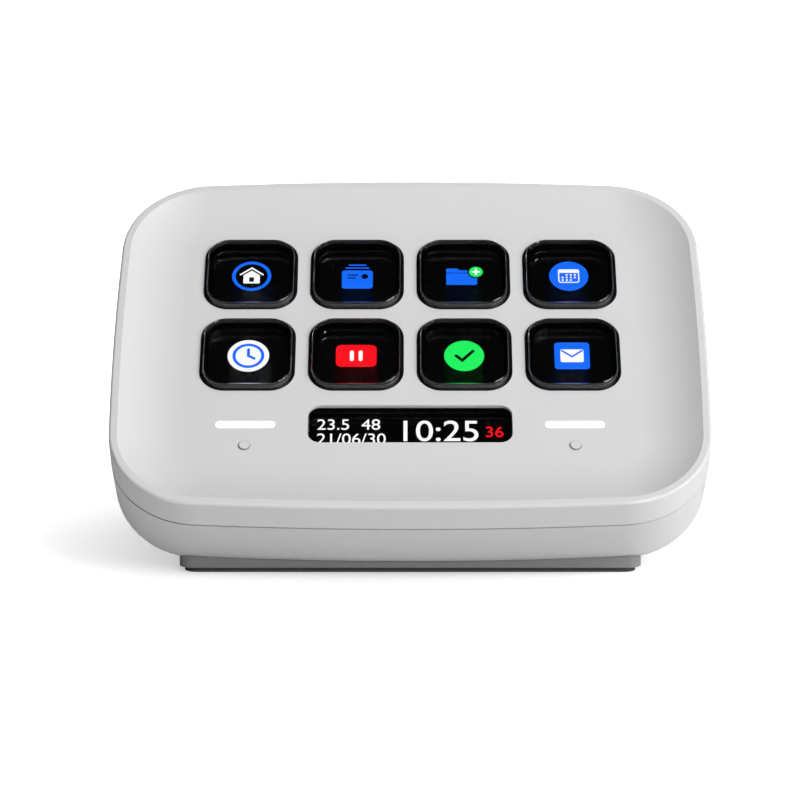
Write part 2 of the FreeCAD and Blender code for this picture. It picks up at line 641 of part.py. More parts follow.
def make_top_housing():
    body = new_body("TopHousing")
    shell = new_sketch(body, "TopOutline", z=SEAM_TOP)
    add_outline(shell, "0")
    block = pad(body, shell, "seam_drop + rim_rise")
    round_edges(body, block, "rim_round", level_edge(value("rim_rise")))

    spine = new_sketch(body, "CovePath", z="rim_rise")
    add_outline(spine, "rim_band")
    section = new_sketch(body, "CoveSection", plane="XZ_Plane")
    cove_profile(section)
    cove = body.newObject("PartDesign::SubtractivePipe", "Cove")
    cove.Profile = section
    cove.Spine = (spine, [f"Edge{i}" for i in range(1, 10)])
    body.Tip = cove
    flat = new_sketch(body, "Flat")
    add_outline(flat, "rim_band + dish_width")
    pocket(body, flat, "2 * rim_rise", up=True)

    inside = new_sketch(body, "TopInside", z=SEAM_TOP)
    add_outline(inside, "wall")
    pocket(body, inside, "seam_drop - wall", up=True)
    rabbet = new_sketch(body, "Rabbet", z=SEAM_TOP)
    add_outline(rabbet, "wall - tongue_thick - fit")
    pocket(body, rabbet, "tongue_rise - seam_gap + fit", up=True)

    field = new_sketch(body, "KeyField", y="keys_up", z=UNDER_FACE)
    add_rectangle(field, FRAME_WIDTH + " + 2 * play", FRAME_HEIGHT + " + 2 * play", "key_corner")
    pocket(body, field, "wall - face_thin", up=True)
    aperture = new_sketch(body, "Aperture", x=KEY_LEFT, y=KEY_LOW, z=UNDER_FACE)
    add_key_outline(aperture, COLLAR_GROW + " + fit", COLLAR_CORNER)
    key_grid(body, pocket(body, aperture, "2 * wall", up=True))
    window = new_sketch(body, "Window", y="-window_down", z=UNDER_FACE)
    add_rectangle(window, "window_width", "window_height", "window_corner")
    pocket(body, window, "2 * wall", up=True)
    slot = new_sketch(body, "BarSlot", x="-bar_out", y="-bar_down", z=UNDER_FACE)
    add_pill(slot, "bar_length", "bar_width")
    pair(body, pocket(body, slot, "2 * wall", up=True), "bar_out")
    dot = new_sketch(body, "Dot", x="-bar_out", y="-dot_down", z="-dot_rise")
    add_circle(dot, "dot_radius")
    pair(body, pad(body, dot, "2 * dot_rise"), "bar_out")

    boss = new_sketch(body, "FrameBoss", x="-frame_screw_out", y="-frame_screw_up", z=LCD_UNDER)
    add_circle(boss, "boss_radius")
    frame_screw_grid(body, pad(body, boss, f"({UNDER_FACE}) - ({LCD_UNDER})"))
    hole = new_sketch(body, "FrameThread", x="-frame_screw_out", y="-frame_screw_up", z=LCD_UNDER)
    add_circle(hole, THREAD_HOLE)
    frame_screw_grid(body, pocket(body, hole, "thread_depth", up=True))
    post = new_sketch(body, "CaseBoss", x="-case_screw_out", y="-case_screw_up", z=CASE_BOSS_END)
    add_circle(post, "case_boss_radius")
    case_screw_grid(body, pad(body, post, "case_boss_length"))
    thread = new_sketch(body, "CaseThread", x="-case_screw_out", y="-case_screw_up", z=CASE_BOSS_END)
    add_circle(thread, THREAD_HOLE)
    case_screw_grid(body, pocket(body, thread, "thread_depth + thread_end", up=True))
    slab_piece(body, "top_housing")


def rear_shape(name, grow):
    """Outside of the rear housing, grown all round by a clearance."""
    body = new_body(name)
    high = new_sketch(body, name + "High", z=SEAM_UNDER)
    add_outline(high, f"-({grow})")
    low = new_sketch(body, name + "Low", z=f"{BACK} - ({grow})")
    add_outline(low, f"side_taper - ({grow})", f"rear_taper - ({grow})", f"rear_corner + ({grow})")
    side = loft(body, "AdditiveLoft", high, low)
    round_edges(body, side, f"back_round + ({grow})", level_edge(value(f"{BACK} - ({grow})")))
    return body


def make_rear_housing():
    outside = rear_shape("RearOutside", "0")
    tongue = new_sketch(outside, "Tongue", z=SEAM_UNDER)
    add_outline(tongue, "wall - tongue_thick")
    add_outline(tongue, "wall")
    pad(outside, tongue, "tongue_rise")

    inside = new_body("RearInside")
    high = new_sketch(inside, "RearInsideHigh", z=SEAM_UNDER)
    add_outline(high, "wall")
    low = new_sketch(inside, "RearInsideLow", z=BACK_INSIDE)
    share = "((rear_depth - wall) / rear_depth)"
    add_outline(low, f"wall + side_taper * {share}", f"wall + rear_taper * {share}",
                f"corner - wall - (corner - rear_corner) * {share}")
    side = loft(inside, "AdditiveLoft", high, low)
    round_edges(inside, side, "back_round - wall", level_edge(value(BACK_INSIDE)))
    post = new_sketch(inside, "CasePost", x="-case_screw_out", y="-case_screw_up", z=CASE_POST_END)
    add_circle(post, "case_post_radius")
    case_screw_grid(inside, pocket(inside, post, "rear_depth"))
    stud = new_sketch(inside, "StandPost", x="-stand_screw_out", y=STAND_SCREW_LOW, z=STAND_POST_END)
    add_circle(stud, "stand_post_radius")
    stand_screw_grid(inside, pocket(inside, stud, "rear_depth"))

    holes = new_body("RearHoles")
    bore = new_sketch(holes, "CaseBore", x="-case_screw_out", y="-case_screw_up", z=CASE_HEAD)
    add_circle(bore, "case_bore")
    case_screw_grid(holes, pad(holes, bore, "rear_depth", down=True))
    clear = new_sketch(holes, "CaseClear", x="-case_screw_out", y="-case_screw_up", z=CASE_HEAD)
    add_circle(clear, PASS_HOLE)
    case_screw_grid(holes, pad(holes, clear, "2 * case_post_wall"))
    thread = new_sketch(holes, "StandThread", x="-stand_screw_out", y=STAND_SCREW_LOW, z=BACK)
    add_circle(thread, THREAD_HOLE)
    stand_screw_grid(holes, pad(holes, thread, "wall + stand_post_height - thread_end"))
    mouth = new_sketch(holes, "PortMouth", y="port_up", z=f"{BACK} - wall")
    add_pill(mouth, "port_width + 2 * port_play", "port_height + 2 * port_play")
    pad(holes, mouth, "3 * wall")
    recess = new_sketch(holes, "PlugRecess", y="port_up", z=f"{BACK} + plug_recess_depth")
    grow = "2 * (port_play + plug_recess)"
    add_pill(recess, f"port_width + {grow}", f"port_height + {grow}")
    pad(holes, recess, "wall", down=True)
    shell = cut("RearShell", outside, inside)
    keep(cut("RearHousing", shell, holes), "rear_housing", slab_place())


# Keys: the same cap and skirt at every place of the grid
def make_keys():
    for row in range(2):
        for column in range(4):
            number = 4 * row + column + 1
            x = f"({column} - 1.5) * pitch"
            y = f"keys_up + ({0.5 - row}) * row_pitch"
            make_key_cap(number, x, y)
            make_key_skirt(number, x, y)


def make_key_cap(number, x, y):
    """Clear block that stands on the skirt, with a plug that fills the skirt's window."""
    body = new_body(f"KeyCap{number}")
    block = new_sketch(body, f"Cap{number}", z=FLANGE_TOP)
    add_key_outline(block, "0", "key_corner")
    solid = pad(body, block, f"key_rise - ({FLANGE_TOP})")
    round_edges(body, solid, "key_round", level_edge(value("key_rise")))
    plug = new_sketch(body, f"CapPlug{number}", z=FLANGE_TOP)
    add_key_outline(plug, "-2 * flange_lap", "key_corner - flange_lap")
    pad(body, plug, f"({FLANGE_TOP}) - ({CAP_UNDER})", down=True)
    slab_piece(body, f"key_cap_{number}", x, y)


def make_key_skirt(number, x, y):
    """Black frame under the cap. Its flange stops under the key frame."""
    body = new_body(f"KeySkirt{number}")
    ring = new_sketch(body, f"Skirt{number}", z=FLANGE_UNDER)
    add_key_outline(ring, "2 * flange_out", "key_corner + flange_out")
    add_key_outline(ring, "fit - 2 * flange_lap", "key_corner - flange_lap")
    pad(body, ring, "flange_thick")
    slab_piece(body, f"key_skirt_{number}", x, y)


# The stack behind the keys
def make_key_frame():
    """Black web with a collar round each cap, and a wall that holds the display panel."""
    body = new_body("KeyFrame")
    web = new_sketch(body, "FrameWeb", y="keys_up", z=FRAME_UNDER)
    add_rectangle(web, FRAME_WIDTH, FRAME_HEIGHT, "key_corner - play")
    pad(body, web, "frame_web")
    wall = new_sketch(body, "FrameWall", y="keys_up", z=LCD_UNDER)
    add_rectangle(wall, FRAME_WIDTH, FRAME_HEIGHT, "key_corner - play")
    add_rectangle(wall, "lcd_width + 2 * play", "lcd_height + 2 * play", "panel_corner + play")
    pad(body, wall, f"({FRAME_UNDER}) - ({LCD_UNDER})")
    collar = new_sketch(body, "Collar", x=KEY_LEFT, y=KEY_LOW, z=FRAME_TOP)
    add_key_outline(collar, COLLAR_GROW, COLLAR_CORNER)
    key_grid(body, pad(body, collar, "face_thin - screw_fit"))
    aperture = new_sketch(body, "FrameAperture", x=KEY_LEFT, y=KEY_LOW, z=FRAME_UNDER)
    add_key_outline(aperture, "2 * key_gap", "key_corner + key_gap")
    key_grid(body, pocket(body, aperture, "2 * wall", up=True))
    notch = new_sketch(body, "RibbonNotch", x="lcd_ribbon_out", y="keys_up + lcd_height / 2", z=LCD_UNDER)
    add_rectangle(notch, "lcd_ribbon_width + 2 * play", "4 * frame_wall", "play")
    pocket(body, notch, "lcd_thick - 2 * play", up=True)
    slab_piece(body, "key_frame")


def make_dome_sheet():
    """Silicone sheet on the panel, with a soft raised wall under each key's skirt."""
    body = new_body("DomeSheet")
    web = new_sketch(body, "SheetWeb", y="keys_up", z=FILM_TOP)
    add_rectangle(web, "lcd_width - play", "lcd_height - play", "panel_corner")
    pad(body, web, "sheet_thick")
    dome = new_sketch(body, "Dome", x=KEY_LEFT, y=KEY_LOW, z=FILM_TOP)
    add_key_outline(dome, "2 * dome_out", "key_corner + dome_wall")
    key_grid(body, pad(body, dome, f"({SHEET_TOP}) - ({FILM_TOP})"))
    window = new_sketch(body, "SheetWindow", x=KEY_LEFT, y=KEY_LOW, z=FILM_TOP)
    add_key_outline(window, "2 * (dome_out - dome_wall)", "key_corner")
    key_grid(body, pocket(body, window, "2 * wall", up=True))
    slab_piece(body, "dome_sheet")


def make_flat(label, width, height, radius, low, high, x="0", y="0"):
    """Flat block with rounded corners between two levels."""
    body = new_body(label.title().replace("_", ""))
    sketch = new_sketch(body, body.Name + "Outline", x=x, y=y, z=low)
    add_rectangle(sketch, width, height, radius)
    pad(body, sketch, f"({high}) - ({low})")
    slab_piece(body, label)


def make_displays():
    make_flat("switch_film", "lcd_width - play", "lcd_height - play", "panel_corner",
              LCD_TOP, FILM_TOP, y="keys_up")
    make_flat("lcd_panel", "lcd_width", "lcd_height", "panel_corner", LCD_UNDER, LCD_TOP, y="keys_up")
    make_flat("info_lcd", "info_width", "info_height", "panel_corner", LCD_UNDER, LCD_TOP,
              y="-window_down")


def make_info_lens():
    """Clear window of the display strip: a head in the opening and a flange behind the face."""
    body = new_body("InfoLens")
    head = new_sketch(body, "LensHead", y="-window_down", z=UNDER_FACE)
    add_rectangle(head, "window_width - 2 * fit", "window_height - 2 * fit", "window_corner - fit")
    pad(body, head, "wall - lens_recess")
    flange = new_sketch(body, "LensFlange", y="-window_down", z=UNDER_FACE)
    add_rectangle(flange, LENS_WIDTH, LENS_HEIGHT, "window_corner")
    pad(body, flange, "lens_flange_thick", down=True)
    slab_piece(body, "info_lens")


def make_info_gasket():
    """Foam ring between the lens's flange and the strip's panel."""
    body = new_body("InfoGasket")
    ring = new_sketch(body, "Gasket", y="-window_down", z=LCD_TOP)
    add_rectangle(ring, "info_width", "info_height", "panel_corner")
    add_rectangle(ring, "window_width", "window_height", "panel_corner / 2")
    pad(body, ring, f"({UNDER_FACE}) - lens_flange_thick - ({LCD_TOP})")
    slab_piece(body, "info_gasket")


def make_light_pipes():
    """Pill that lies flush in the face, on a flange, with a stem down to its lamp."""
    for side, sign in (("left", "-"), ("right", "")):
        name = side.title()
        body = new_body(name + "Pipe")
        x = sign + "bar_out"
        head = new_sketch(body, name + "PipeHead", x=x, y="-bar_down", z=UNDER_FACE)
        add_pill(head, "bar_length - fit", "bar_width - fit")
        pad(body, head, "wall")
        flange = new_sketch(body, name + "PipeFlange", x=x, y="-bar_down", z=PIPE_UNDER)
        add_rectangle(flange, "bar_length + 2 * pipe_flange", "bar_width + 2 * pipe_flange",
                      "bar_width / 2")
        pad(body, flange, "pipe_flange_thick")
        stem = new_sketch(body, name + "PipeStem", x=x, y="-bar_down", z=PIPE_UNDER)
        add_rectangle(stem, "pipe_stem_length", "pipe_stem_width", "fit")
        pad(body, stem, f"({PIPE_UNDER}) - ({LAMP_TOP}) - play", down=True)
        slab_piece(body, "light_pipe_" + side)


def make_touch_contacts():
    """Disc behind each raised dot, with a post down to the board."""
    for side, sign in (("left", "-"), ("right", "")):
        name = side.title()
        body = new_body(name + "Contact")
        disc = new_sketch(body, name + "Disc", x=sign + "bar_out", y="-dot_down", z=UNDER_FACE)
        add_circle(disc, "contact_radius")
        pad(body, disc, "contact_thick", down=True)
        post = new_sketch(body, name + "Post", x=sign + "bar_out", y="-dot_down", z=BOARD_TOP)
        add_circle(post, "contact_post")
        pad(body, post, f"({UNDER_FACE}) - ({BOARD_TOP})")
        slab_piece(body, "touch_contact_" + side)


# Plate, board and what stands on it
def make_support_plate():
    body = new_body("SupportPlate")
    plate = new_sketch(body, "Plate", z=PLATE_UNDER)
    add_rectangle(plate, "board_width", "board_height", "board_corner")
    pad(body, plate, "plate_thick")
    hole = new_sketch(body, "PlateHole", x="-frame_screw_out", y="-frame_screw_up", z=PLATE_UNDER)
    add_circle(hole, PASS_HOLE)
    frame_screw_grid(body, pocket(body, hole, "2 * plate_thick", up=True))
    stem = new_sketch(body, "PlateStem", x="-bar_out", y="-bar_down", z=PLATE_UNDER)
    add_rectangle(stem, "pipe_stem_length + 4 * play", "pipe_stem_width + 4 * play", "play")
    pair(body, pocket(body, stem, "2 * plate_thick", up=True), "bar_out")
    post = new_sketch(body, "PlatePost", x="-bar_out", y="-dot_down", z=PLATE_UNDER)
    add_circle(post, "contact_post + 2 * play")
    pair(body, pocket(body, post, "2 * plate_thick", up=True), "bar_out")
    for name, x, width, edge, sign in RIBBONS:
        slot = new_sketch(body, name + "Slot", x=x, z=PLATE_UNDER,
                          y=f"{edge} {sign} (ribbon_reach - ribbon_thick / 2)")
        add_rectangle(slot, f"{width} + 4 * play", "ribbon_thick + 4 * play", "play")
        pocket(body, slot, "2 * plate_thick", up=True)
    slab_piece(body, "support_plate")


def make_spacers():
    body = new_body("Spacers")
    ring = new_sketch(body, "Spacer", x="-frame_screw_out", y="-frame_screw_up", z=BOARD_TOP)
    add_circle(ring, "spacer_radius")
    add_circle(ring, PASS_HOLE)
    frame_screw_grid(body, pad(body, ring, "spacer_height"))
    slab_piece(body, "spacers")


def make_main_pcb():
    body = new_body("MainPcb")
    board = new_sketch(body, "Board", z=BOARD_UNDER)
    add_rectangle(board, "board_width", "board_height", "board_corner")
    pad(body, board, "board_thick")
    hole = new_sketch(body, "BoardHole", x="-frame_screw_out", y="-frame_screw_up", z=BOARD_UNDER)
    add_circle(hole, PASS_HOLE)
    frame_screw_grid(body, pocket(body, hole, "2 * board_thick", up=True))
    slab_piece(body, "main_pcb")


def make_ribbon(label, x, width, edge, sign, low):
    """Flat ribbon: out of the panel's edge, down through the plate, and back into its connector."""
    body = new_body(label.title().replace("_", ""))
    sketch = new_sketch(body, body.Name + "Path", z=x, plane="YZ_Plane")
    near = f"{edge} {sign} fit"
    outer = f"{edge} {sign} ribbon_reach"
    inner = f"{outer} {'-' if sign == '+' else '+'} ribbon_thick"
    top = f"{LCD_TOP} - lcd_thick / 2"
    under = f"{top} - ribbon_thick"
    foot = f"{low} + ribbon_thick"
    add_polygon(sketch, [(near, under), (near, top), (outer, top), (outer, low),
                         (near, low), (near, foot), (inner, foot), (inner, under)])
    pad(body, sketch, width, both=True)
    slab_piece(body, label)


def make_board_parts():
    for name, x, width, edge, sign in RIBBONS:
        label = name.lower()
        make_ribbon(label + "_ribbon", x, width, edge, sign, f"{BOARD_TOP} + connector_height / 2")
        back = "-" if sign == "+" else "+"
        make_flat(label + "_connector", width, "connector_depth", "fit", BOARD_TOP,
                  f"{BOARD_TOP} + connector_height", x=x, y=f"{edge} {back} connector_depth / 2")
    chip_under = f"{BOARD_UNDER} - chip_thick"
    make_flat("processor", "processor_size", "processor_size", "fit", chip_under, BOARD_UNDER,
              x="-processor_out", y="chips_up")
    make_flat("memory_chip", "memory_width", "memory_height", "fit", chip_under, BOARD_UNDER,
              x="memory_out", y="chips_up")
    make_flat("power_inductor", "coil_size", "coil_size", "coil_corner",
              f"{BOARD_UNDER} - coil_height", BOARD_UNDER, x="coil_out", y="coil_up")

    lamps = new_body("LightLeds")
    lamp = new_sketch(lamps, "Lamp", x="-bar_out", y="-bar_down", z=BOARD_TOP)
    add_rectangle(lamp, "lamp_length", "lamp_width", "fit")
    pair(lamps, pad(lamps, lamp, "lamp_height"), "bar_out")
    slab_piece(lamps, "light_leds")

    capacitors = new_body("Capacitors")
    part = new_sketch(capacitors, "Capacitor", x="-capacitor_out", y="-capacitor_down", z=BOARD_UNDER)
    add_rectangle(part, "capacitor_length", "capacitor_width", "fit")
    block = pad(capacitors, part, "capacitor_width", down=True)
    grid(capacitors, [block], "capacitor_step", 6, "capacitor_rows", 2)
    slab_piece(capacitors, "capacitors")


def make_usb_port():
    """Upright inlet on the board's back: a steel shell round a black tongue."""
    shell = new_body("UsbShell")
    ring = new_sketch(shell, "UsbRing", y="port_up", z=PORT_MOUTH)
    add_pill(ring, "port_width", "port_height")
    add_pill(ring, "port_width - 2 * port_wall", "port_height - 2 * port_wall")
    pad(shell, ring, f"({BOARD_UNDER}) - ({PORT_MOUTH})")
    slab_piece(shell, "usb_shell")

    tongue = new_body("UsbTongue")
    base = new_sketch(tongue, "UsbBase", y="port_up", z=BOARD_UNDER)
    add_pill(base, "port_width - 2 * port_wall - fit", "port_height - 2 * port_wall - fit")
    pad(tongue, base, "port_base", down=True)
    blade = new_sketch(tongue, "UsbBlade", y="port_up", z=BOARD_UNDER)
    add_rectangle(blade, "port_blade_width", "port_blade_thick", "fit")
    pad(tongue, blade, f"({BOARD_UNDER}) - ({PORT_MOUTH}) - port_blade_sunk", down=True)
    slab_piece(tongue, "usb_tongue")


# Fasteners
def make_screws(label, x, y, head_top, length, pattern, head="head_thick", place=None):
    """Screws with the shank up along Z and the head, with its recess, below."""
    body = new_body(label.title().replace("_", ""))
    profile = new_sketch(body, body.Name + "Profile", x=x, y=head_top, plane="XZ_Plane", z=f"-({y})")
    add_polygon(profile, [("0", f"-({head})"), ("head_radius", f"-({head})"), ("head_radius", "0"),
                          ("screw_radius", "0"), ("screw_radius", length), ("0", length)])
    turned = revolve(body, profile)
    recess = new_sketch(body, body.Name + "Drive", x=x, y=y, z=f"{head_top} - ({head})")
    corners = [(f"drive_radius * cos({60 * i})", f"drive_radius * sin({60 * i})") for i in range(6)]
    add_polygon(recess, corners)
    pattern(body, turned, pocket(body, recess, f"({head}) * drive_share", up=True))
    keep(body, label, place or slab_place())


def make_fasteners():
    make_screws("frame_screws", "-frame_screw_out", "-frame_screw_up", BOARD_UNDER,
                FRAME_SCREW_LENGTH, frame_screw_grid)
    make_screws("case_screws", "-case_screw_out", "-case_screw_up", CASE_HEAD, CASE_SCREW_LENGTH,
                case_screw_grid)
    make_screws("stand_screws", "-stand_screw_out", STAND_SCREW_LOW, STAND_SKIN,
                STAND_SCREW_LENGTH, stand_screw_grid)
    make_screws("base_screws", "-base_screw_out", "-base_screw_front",
                "pad_thick + base_head_thick + screw_fit", "base_screw_length", base_screw_grid,
                head="base_head_thick", place=Placement())


# Stand and foot, drawn as they stand on the table
def make_stand():
    """Wedge between the table and the body's back, hollow, with its foot open for the base plate."""
    wedge = new_body("Wedge")
    side = new_sketch(wedge, "WedgeSide", plane="YZ_Plane")
    half = f"({STAND_DEPTH} / 2)"
    rear_top = table_point("stand_top", BACK)
    buried = table_point("stand_top", f"{BACK} + 2 * wall")
    add_polygon(side, [(f"-{half}", "pad_thick"), (half, "pad_thick"),
                       (half, "pad_thick + stand_rear_lip"), rear_top, buried,
                       (f"-{half}", "pad_thick + stand_front_rise")])
    block = pad(wedge, side, STAND_WIDTH, both=True)
    round_edges(wedge, block, "stand_corner", stand_corner_edge)

    hollow = new_body("StandHollow")
    room = new_sketch(hollow, "Room", plane="YZ_Plane")
    rear = f"({half} - stand_wall)"
    up_face = f"(-({BODY_Z} + ({STAND_SKIN}) * cos(tilt)) / sin(tilt))"
    front = table_point(up_face, STAND_SKIN)[0]
    add_polygon(room, [(front, "0"), (rear, "0"), (rear, "pad_thick + stand_rear_lip"),
                       table_point("stand_top - 2 * stand_wall", STAND_SKIN)])
    pad(hollow, room, f"{STAND_WIDTH} - 2 * stand_wall", both=True)
    post = new_sketch(hollow, "BasePost", x="-base_screw_out", y="-base_screw_front", z=BASE_TOP)
    add_circle(post, "base_post_radius")
    base_screw_grid(hollow, pocket(hollow, post, "2 * body_height", up=True))
    slot = new_sketch(hollow, "BellySlot", y="-pad_depth / 2 + belly_setback", z="0")
    add_rectangle(slot, f"{STAND_WIDTH} - 4 * stand_wall", "belly_slot", "stand_wall / 2")
    pad(hollow, slot, "pad_thick + stand_front_rise + wall")
    thread = new_sketch(hollow, "BaseThread", x="-base_screw_out", y="-base_screw_front", z="0")
    add_circle(thread, THREAD_HOLE)
    base_screw_grid(hollow, pad(hollow, thread, "base_screw_length + pad_thick + base_thick"))

    envelope = rear_shape("RearEnvelope", "screw_fit")
    passes = new_sketch(envelope, "StandPass", x="-stand_screw_out", y=STAND_SCREW_LOW, z=BACK)
    add_circle(passes, PASS_HOLE)
    stand_screw_grid(envelope, pad(envelope, passes, "2 * stand_wall", down=True))
    envelope.Placement = slab_place()
    keep(cut("Stand", cut("StandShell", wedge, hollow), envelope), "stand", Placement())


def make_foot():
    foot = new_body("FootPad")
    outline = new_sketch(foot, "FootOutline")
    add_rectangle(outline, "pad_width", "pad_depth", "stand_corner")
    pad(foot, outline, "pad_thick")
    keep(foot, "foot_pad", Placement())

    base = new_body("StandBase")
    plate = new_sketch(base, "BasePlate", y=f"({BASE_REAR} - base_front) / 2", z="pad_thick")
    add_rectangle(plate, f"{STAND_WIDTH} - 2 * (stand_wall + play)", f"{BASE_REAR} + base_front",
                  "stand_wall / 2")
    pad(base, plate, "base_thick")
    hole = new_sketch(base, "BaseHole", x="-base_screw_out", y="-base_screw_front", z="0")
    add_circle(hole, PASS_HOLE)
    base_screw_grid(base, pocket(base, hole, "pad_thick + 2 * base_thick", up=True))
    sink = new_sketch(base, "BaseSink", x="-base_screw_out", y="-base_screw_front", z="0")
    add_circle(sink, "head_radius + screw_pass")
    base_screw_grid(base, pocket(base, sink, "pad_thick + base_head_thick + screw_fit", up=True))
    keep(base, "stand_base", Placement())


make_top_housing()
make_rear_housing()
make_keys()
make_key_frame()
make_dome_sheet()
make_displays()
make_info_lens()
make_info_gasket()
make_light_pipes()
make_touch_contacts()
make_support_plate()
make_spacers()
make_main_pcb()
make_board_parts()
make_usb_port()
make_fasteners()
make_stand()
make_foot()
doc.recompute()

for item in doc.Objects:
    if "Invalid" in item.State or "Error" in item.State:
        raise RuntimeError(f"{item.Name} failed: {item.getStatusString()}")
    if item.TypeId == "Sketcher::SketchObject" and not item.FullyConstrained:
        raise RuntimeError(f"{item.Name} is not fully constrained")
for item in PARTS:
    if item.Shape.isNull() or not item.Shape.isValid():
        raise RuntimeError(f"{item.Label} has no valid shape")

os.makedirs("parts", exist_ok=True)
for item in PARTS:
    item.Shape.exportStep(f"parts/{item.Label}.step")
    print(item.Label, len(item.Shape.Solids), round(item.Shape.Volume, 1))
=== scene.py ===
import json
import math

import bpy
import numpy as np
from bpy.props import FloatProperty, FloatVectorProperty, PointerProperty
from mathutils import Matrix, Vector


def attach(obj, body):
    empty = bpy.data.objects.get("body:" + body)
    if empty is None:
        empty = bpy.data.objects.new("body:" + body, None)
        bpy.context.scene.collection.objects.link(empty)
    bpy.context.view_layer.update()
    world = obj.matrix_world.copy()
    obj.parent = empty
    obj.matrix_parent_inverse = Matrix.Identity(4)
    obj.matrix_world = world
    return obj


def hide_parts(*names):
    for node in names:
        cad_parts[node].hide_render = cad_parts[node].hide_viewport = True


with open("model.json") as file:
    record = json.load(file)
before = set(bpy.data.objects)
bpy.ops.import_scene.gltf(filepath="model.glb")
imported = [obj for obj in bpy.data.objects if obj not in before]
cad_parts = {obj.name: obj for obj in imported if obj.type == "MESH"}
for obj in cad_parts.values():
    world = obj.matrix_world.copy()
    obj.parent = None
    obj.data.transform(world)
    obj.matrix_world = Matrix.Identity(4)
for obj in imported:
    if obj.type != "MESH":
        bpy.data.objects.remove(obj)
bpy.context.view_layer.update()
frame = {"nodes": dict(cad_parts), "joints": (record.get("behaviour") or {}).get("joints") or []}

bl_info = {
    "name": "Display Keypad",
    "version": (1, 0, 0),
    "blender": (4, 5, 0),
    "location": "3D View > Sidebar > Keypad",
    "description": "Clear caps, lit displays, finishes and a small studio for the keypad",
    "category": "Object",
}

MM = 0.001
ROOT = "housing"
KEYS = range(1, 9)

# The keypad's slab leans back. The keys' joints run straight into its face.
LEAN = math.asin(frame["joints"][0]["axis"][1])
COS_LEAN = math.cos(LEAN)
SIN_LEAN = math.sin(LEAN)


def slab_box(node):
    """Lowest and highest corner of a CAD node along the slab's directions, in millimetres.

    The directions are to the right, up the face and out of the face. Each
    corner is the least or the most of the node's own points along them.
    """
    mesh = frame["nodes"][node].data
    points = np.empty(3 * len(mesh.vertices))
    mesh.vertices.foreach_get("co", points)
    right, back, high = points.reshape(-1, 3).T / MM
    up = back * COS_LEAN + high * SIN_LEAN
    out = high * COS_LEAN - back * SIN_LEAN
    turned = np.array([right, up, out])
    return turned.min(axis=1), turned.max(axis=1)


def slab_middle(node):
    """Middle of a CAD node's box along the slab's directions, in millimetres."""
    low, high = slab_box(node)
    return (low + high) / 2


def to_row(points):
    """Points along the slab's directions, in millimetres, turned into the frame, in metres."""
    right, up, out = points.T
    back = up * COS_LEAN - out * SIN_LEAN
    high = up * SIN_LEAN + out * COS_LEAN
    return MM * np.column_stack([right, back, high])


# Heights out of the slab on which the keys' symbols and the strip's numerals lie
FILM_TOP = slab_box("switch_film")[1][2]
STRIP_TOP = slab_box("info_lcd")[1][2]


# What the lengths and the colours in the panel have in common
LENGTH = {"min": 0, "precision": 5, "unit": "LENGTH"}
COLOUR = {"subtype": "COLOR", "size": 3, "min": 0, "max": 1}


class KeypadSizes(bpy.types.PropertyGroup):
    """Sizes of what is modelled here, in metres."""

    cap_crown: FloatProperty(
        name="Cap crown", description="Rise of a cap's top from its edge to its middle",
        default=0.10 * MM, **LENGTH)
    cap_round: FloatProperty(
        name="Cap rounding", description="Rounding of a cap's top edge",
        default=0.5 * MM, **LENGTH)
    cap_lap: FloatProperty(
        name="Cap lap", description="How far a cap's plug stands in from its sides",
        default=0.75 * MM, **LENGTH)
    cap_seat: FloatProperty(
        name="Cap seat", description="Film of glue between a cap and its black skirt",
        default=0.02 * MM, **LENGTH)
    cap_foot_round: FloatProperty(
        name="Cap foot rounding", description="Rounding of a cap's lower edges",
        default=0.12 * MM, **LENGTH)
    window_flange: FloatProperty(
        name="Window flange",
        description="How far the strip window's flange stands out from its sides",
        default=1.1 * MM, **LENGTH)
    window_flange_depth: FloatProperty(
        name="Window flange depth", description="Thickness of the strip window's flange",
        default=1.0 * MM, **LENGTH)
    window_round: FloatProperty(
        name="Window rounding", description="Rounding of the strip window's top edge",
        default=0.18 * MM, **LENGTH)
    window_corner: FloatProperty(
        name="Window corner", description="Corner radius of the strip window, seen from its face",
        default=1.9 * MM, **LENGTH)
    # The painted shade round each touch dot: its radius and how far it reaches
    dot_ring: FloatProperty(
        name="Touch dot's corner", description="Radius of the shaded corner round a touch dot",
        default=0.98 * MM, **LENGTH)
    dot_line: FloatProperty(
        name="Touch dot's line", description="How far that shade reaches, in and out",
        default=0.12 * MM, **LENGTH)
    glyph_size: FloatProperty(
        name="Symbol size", description="Width of a round symbol on a key's display",
        default=7.2 * MM, **LENGTH)
    glyph_rise: FloatProperty(
        name="Symbol rise",
        description="Middle of a symbol above the middle of its key, up the face",
        default=1.25 * MM, precision=5, unit="LENGTH")
    numeral_height: FloatProperty(
        name="Clock numerals", description="Height of the clock's numerals on the strip",
        default=4.8 * MM, **LENGTH)
    small_height: FloatProperty(
        name="Small numerals", description="Height of the small numerals on the strip",
        default=2.45 * MM, **LENGTH)


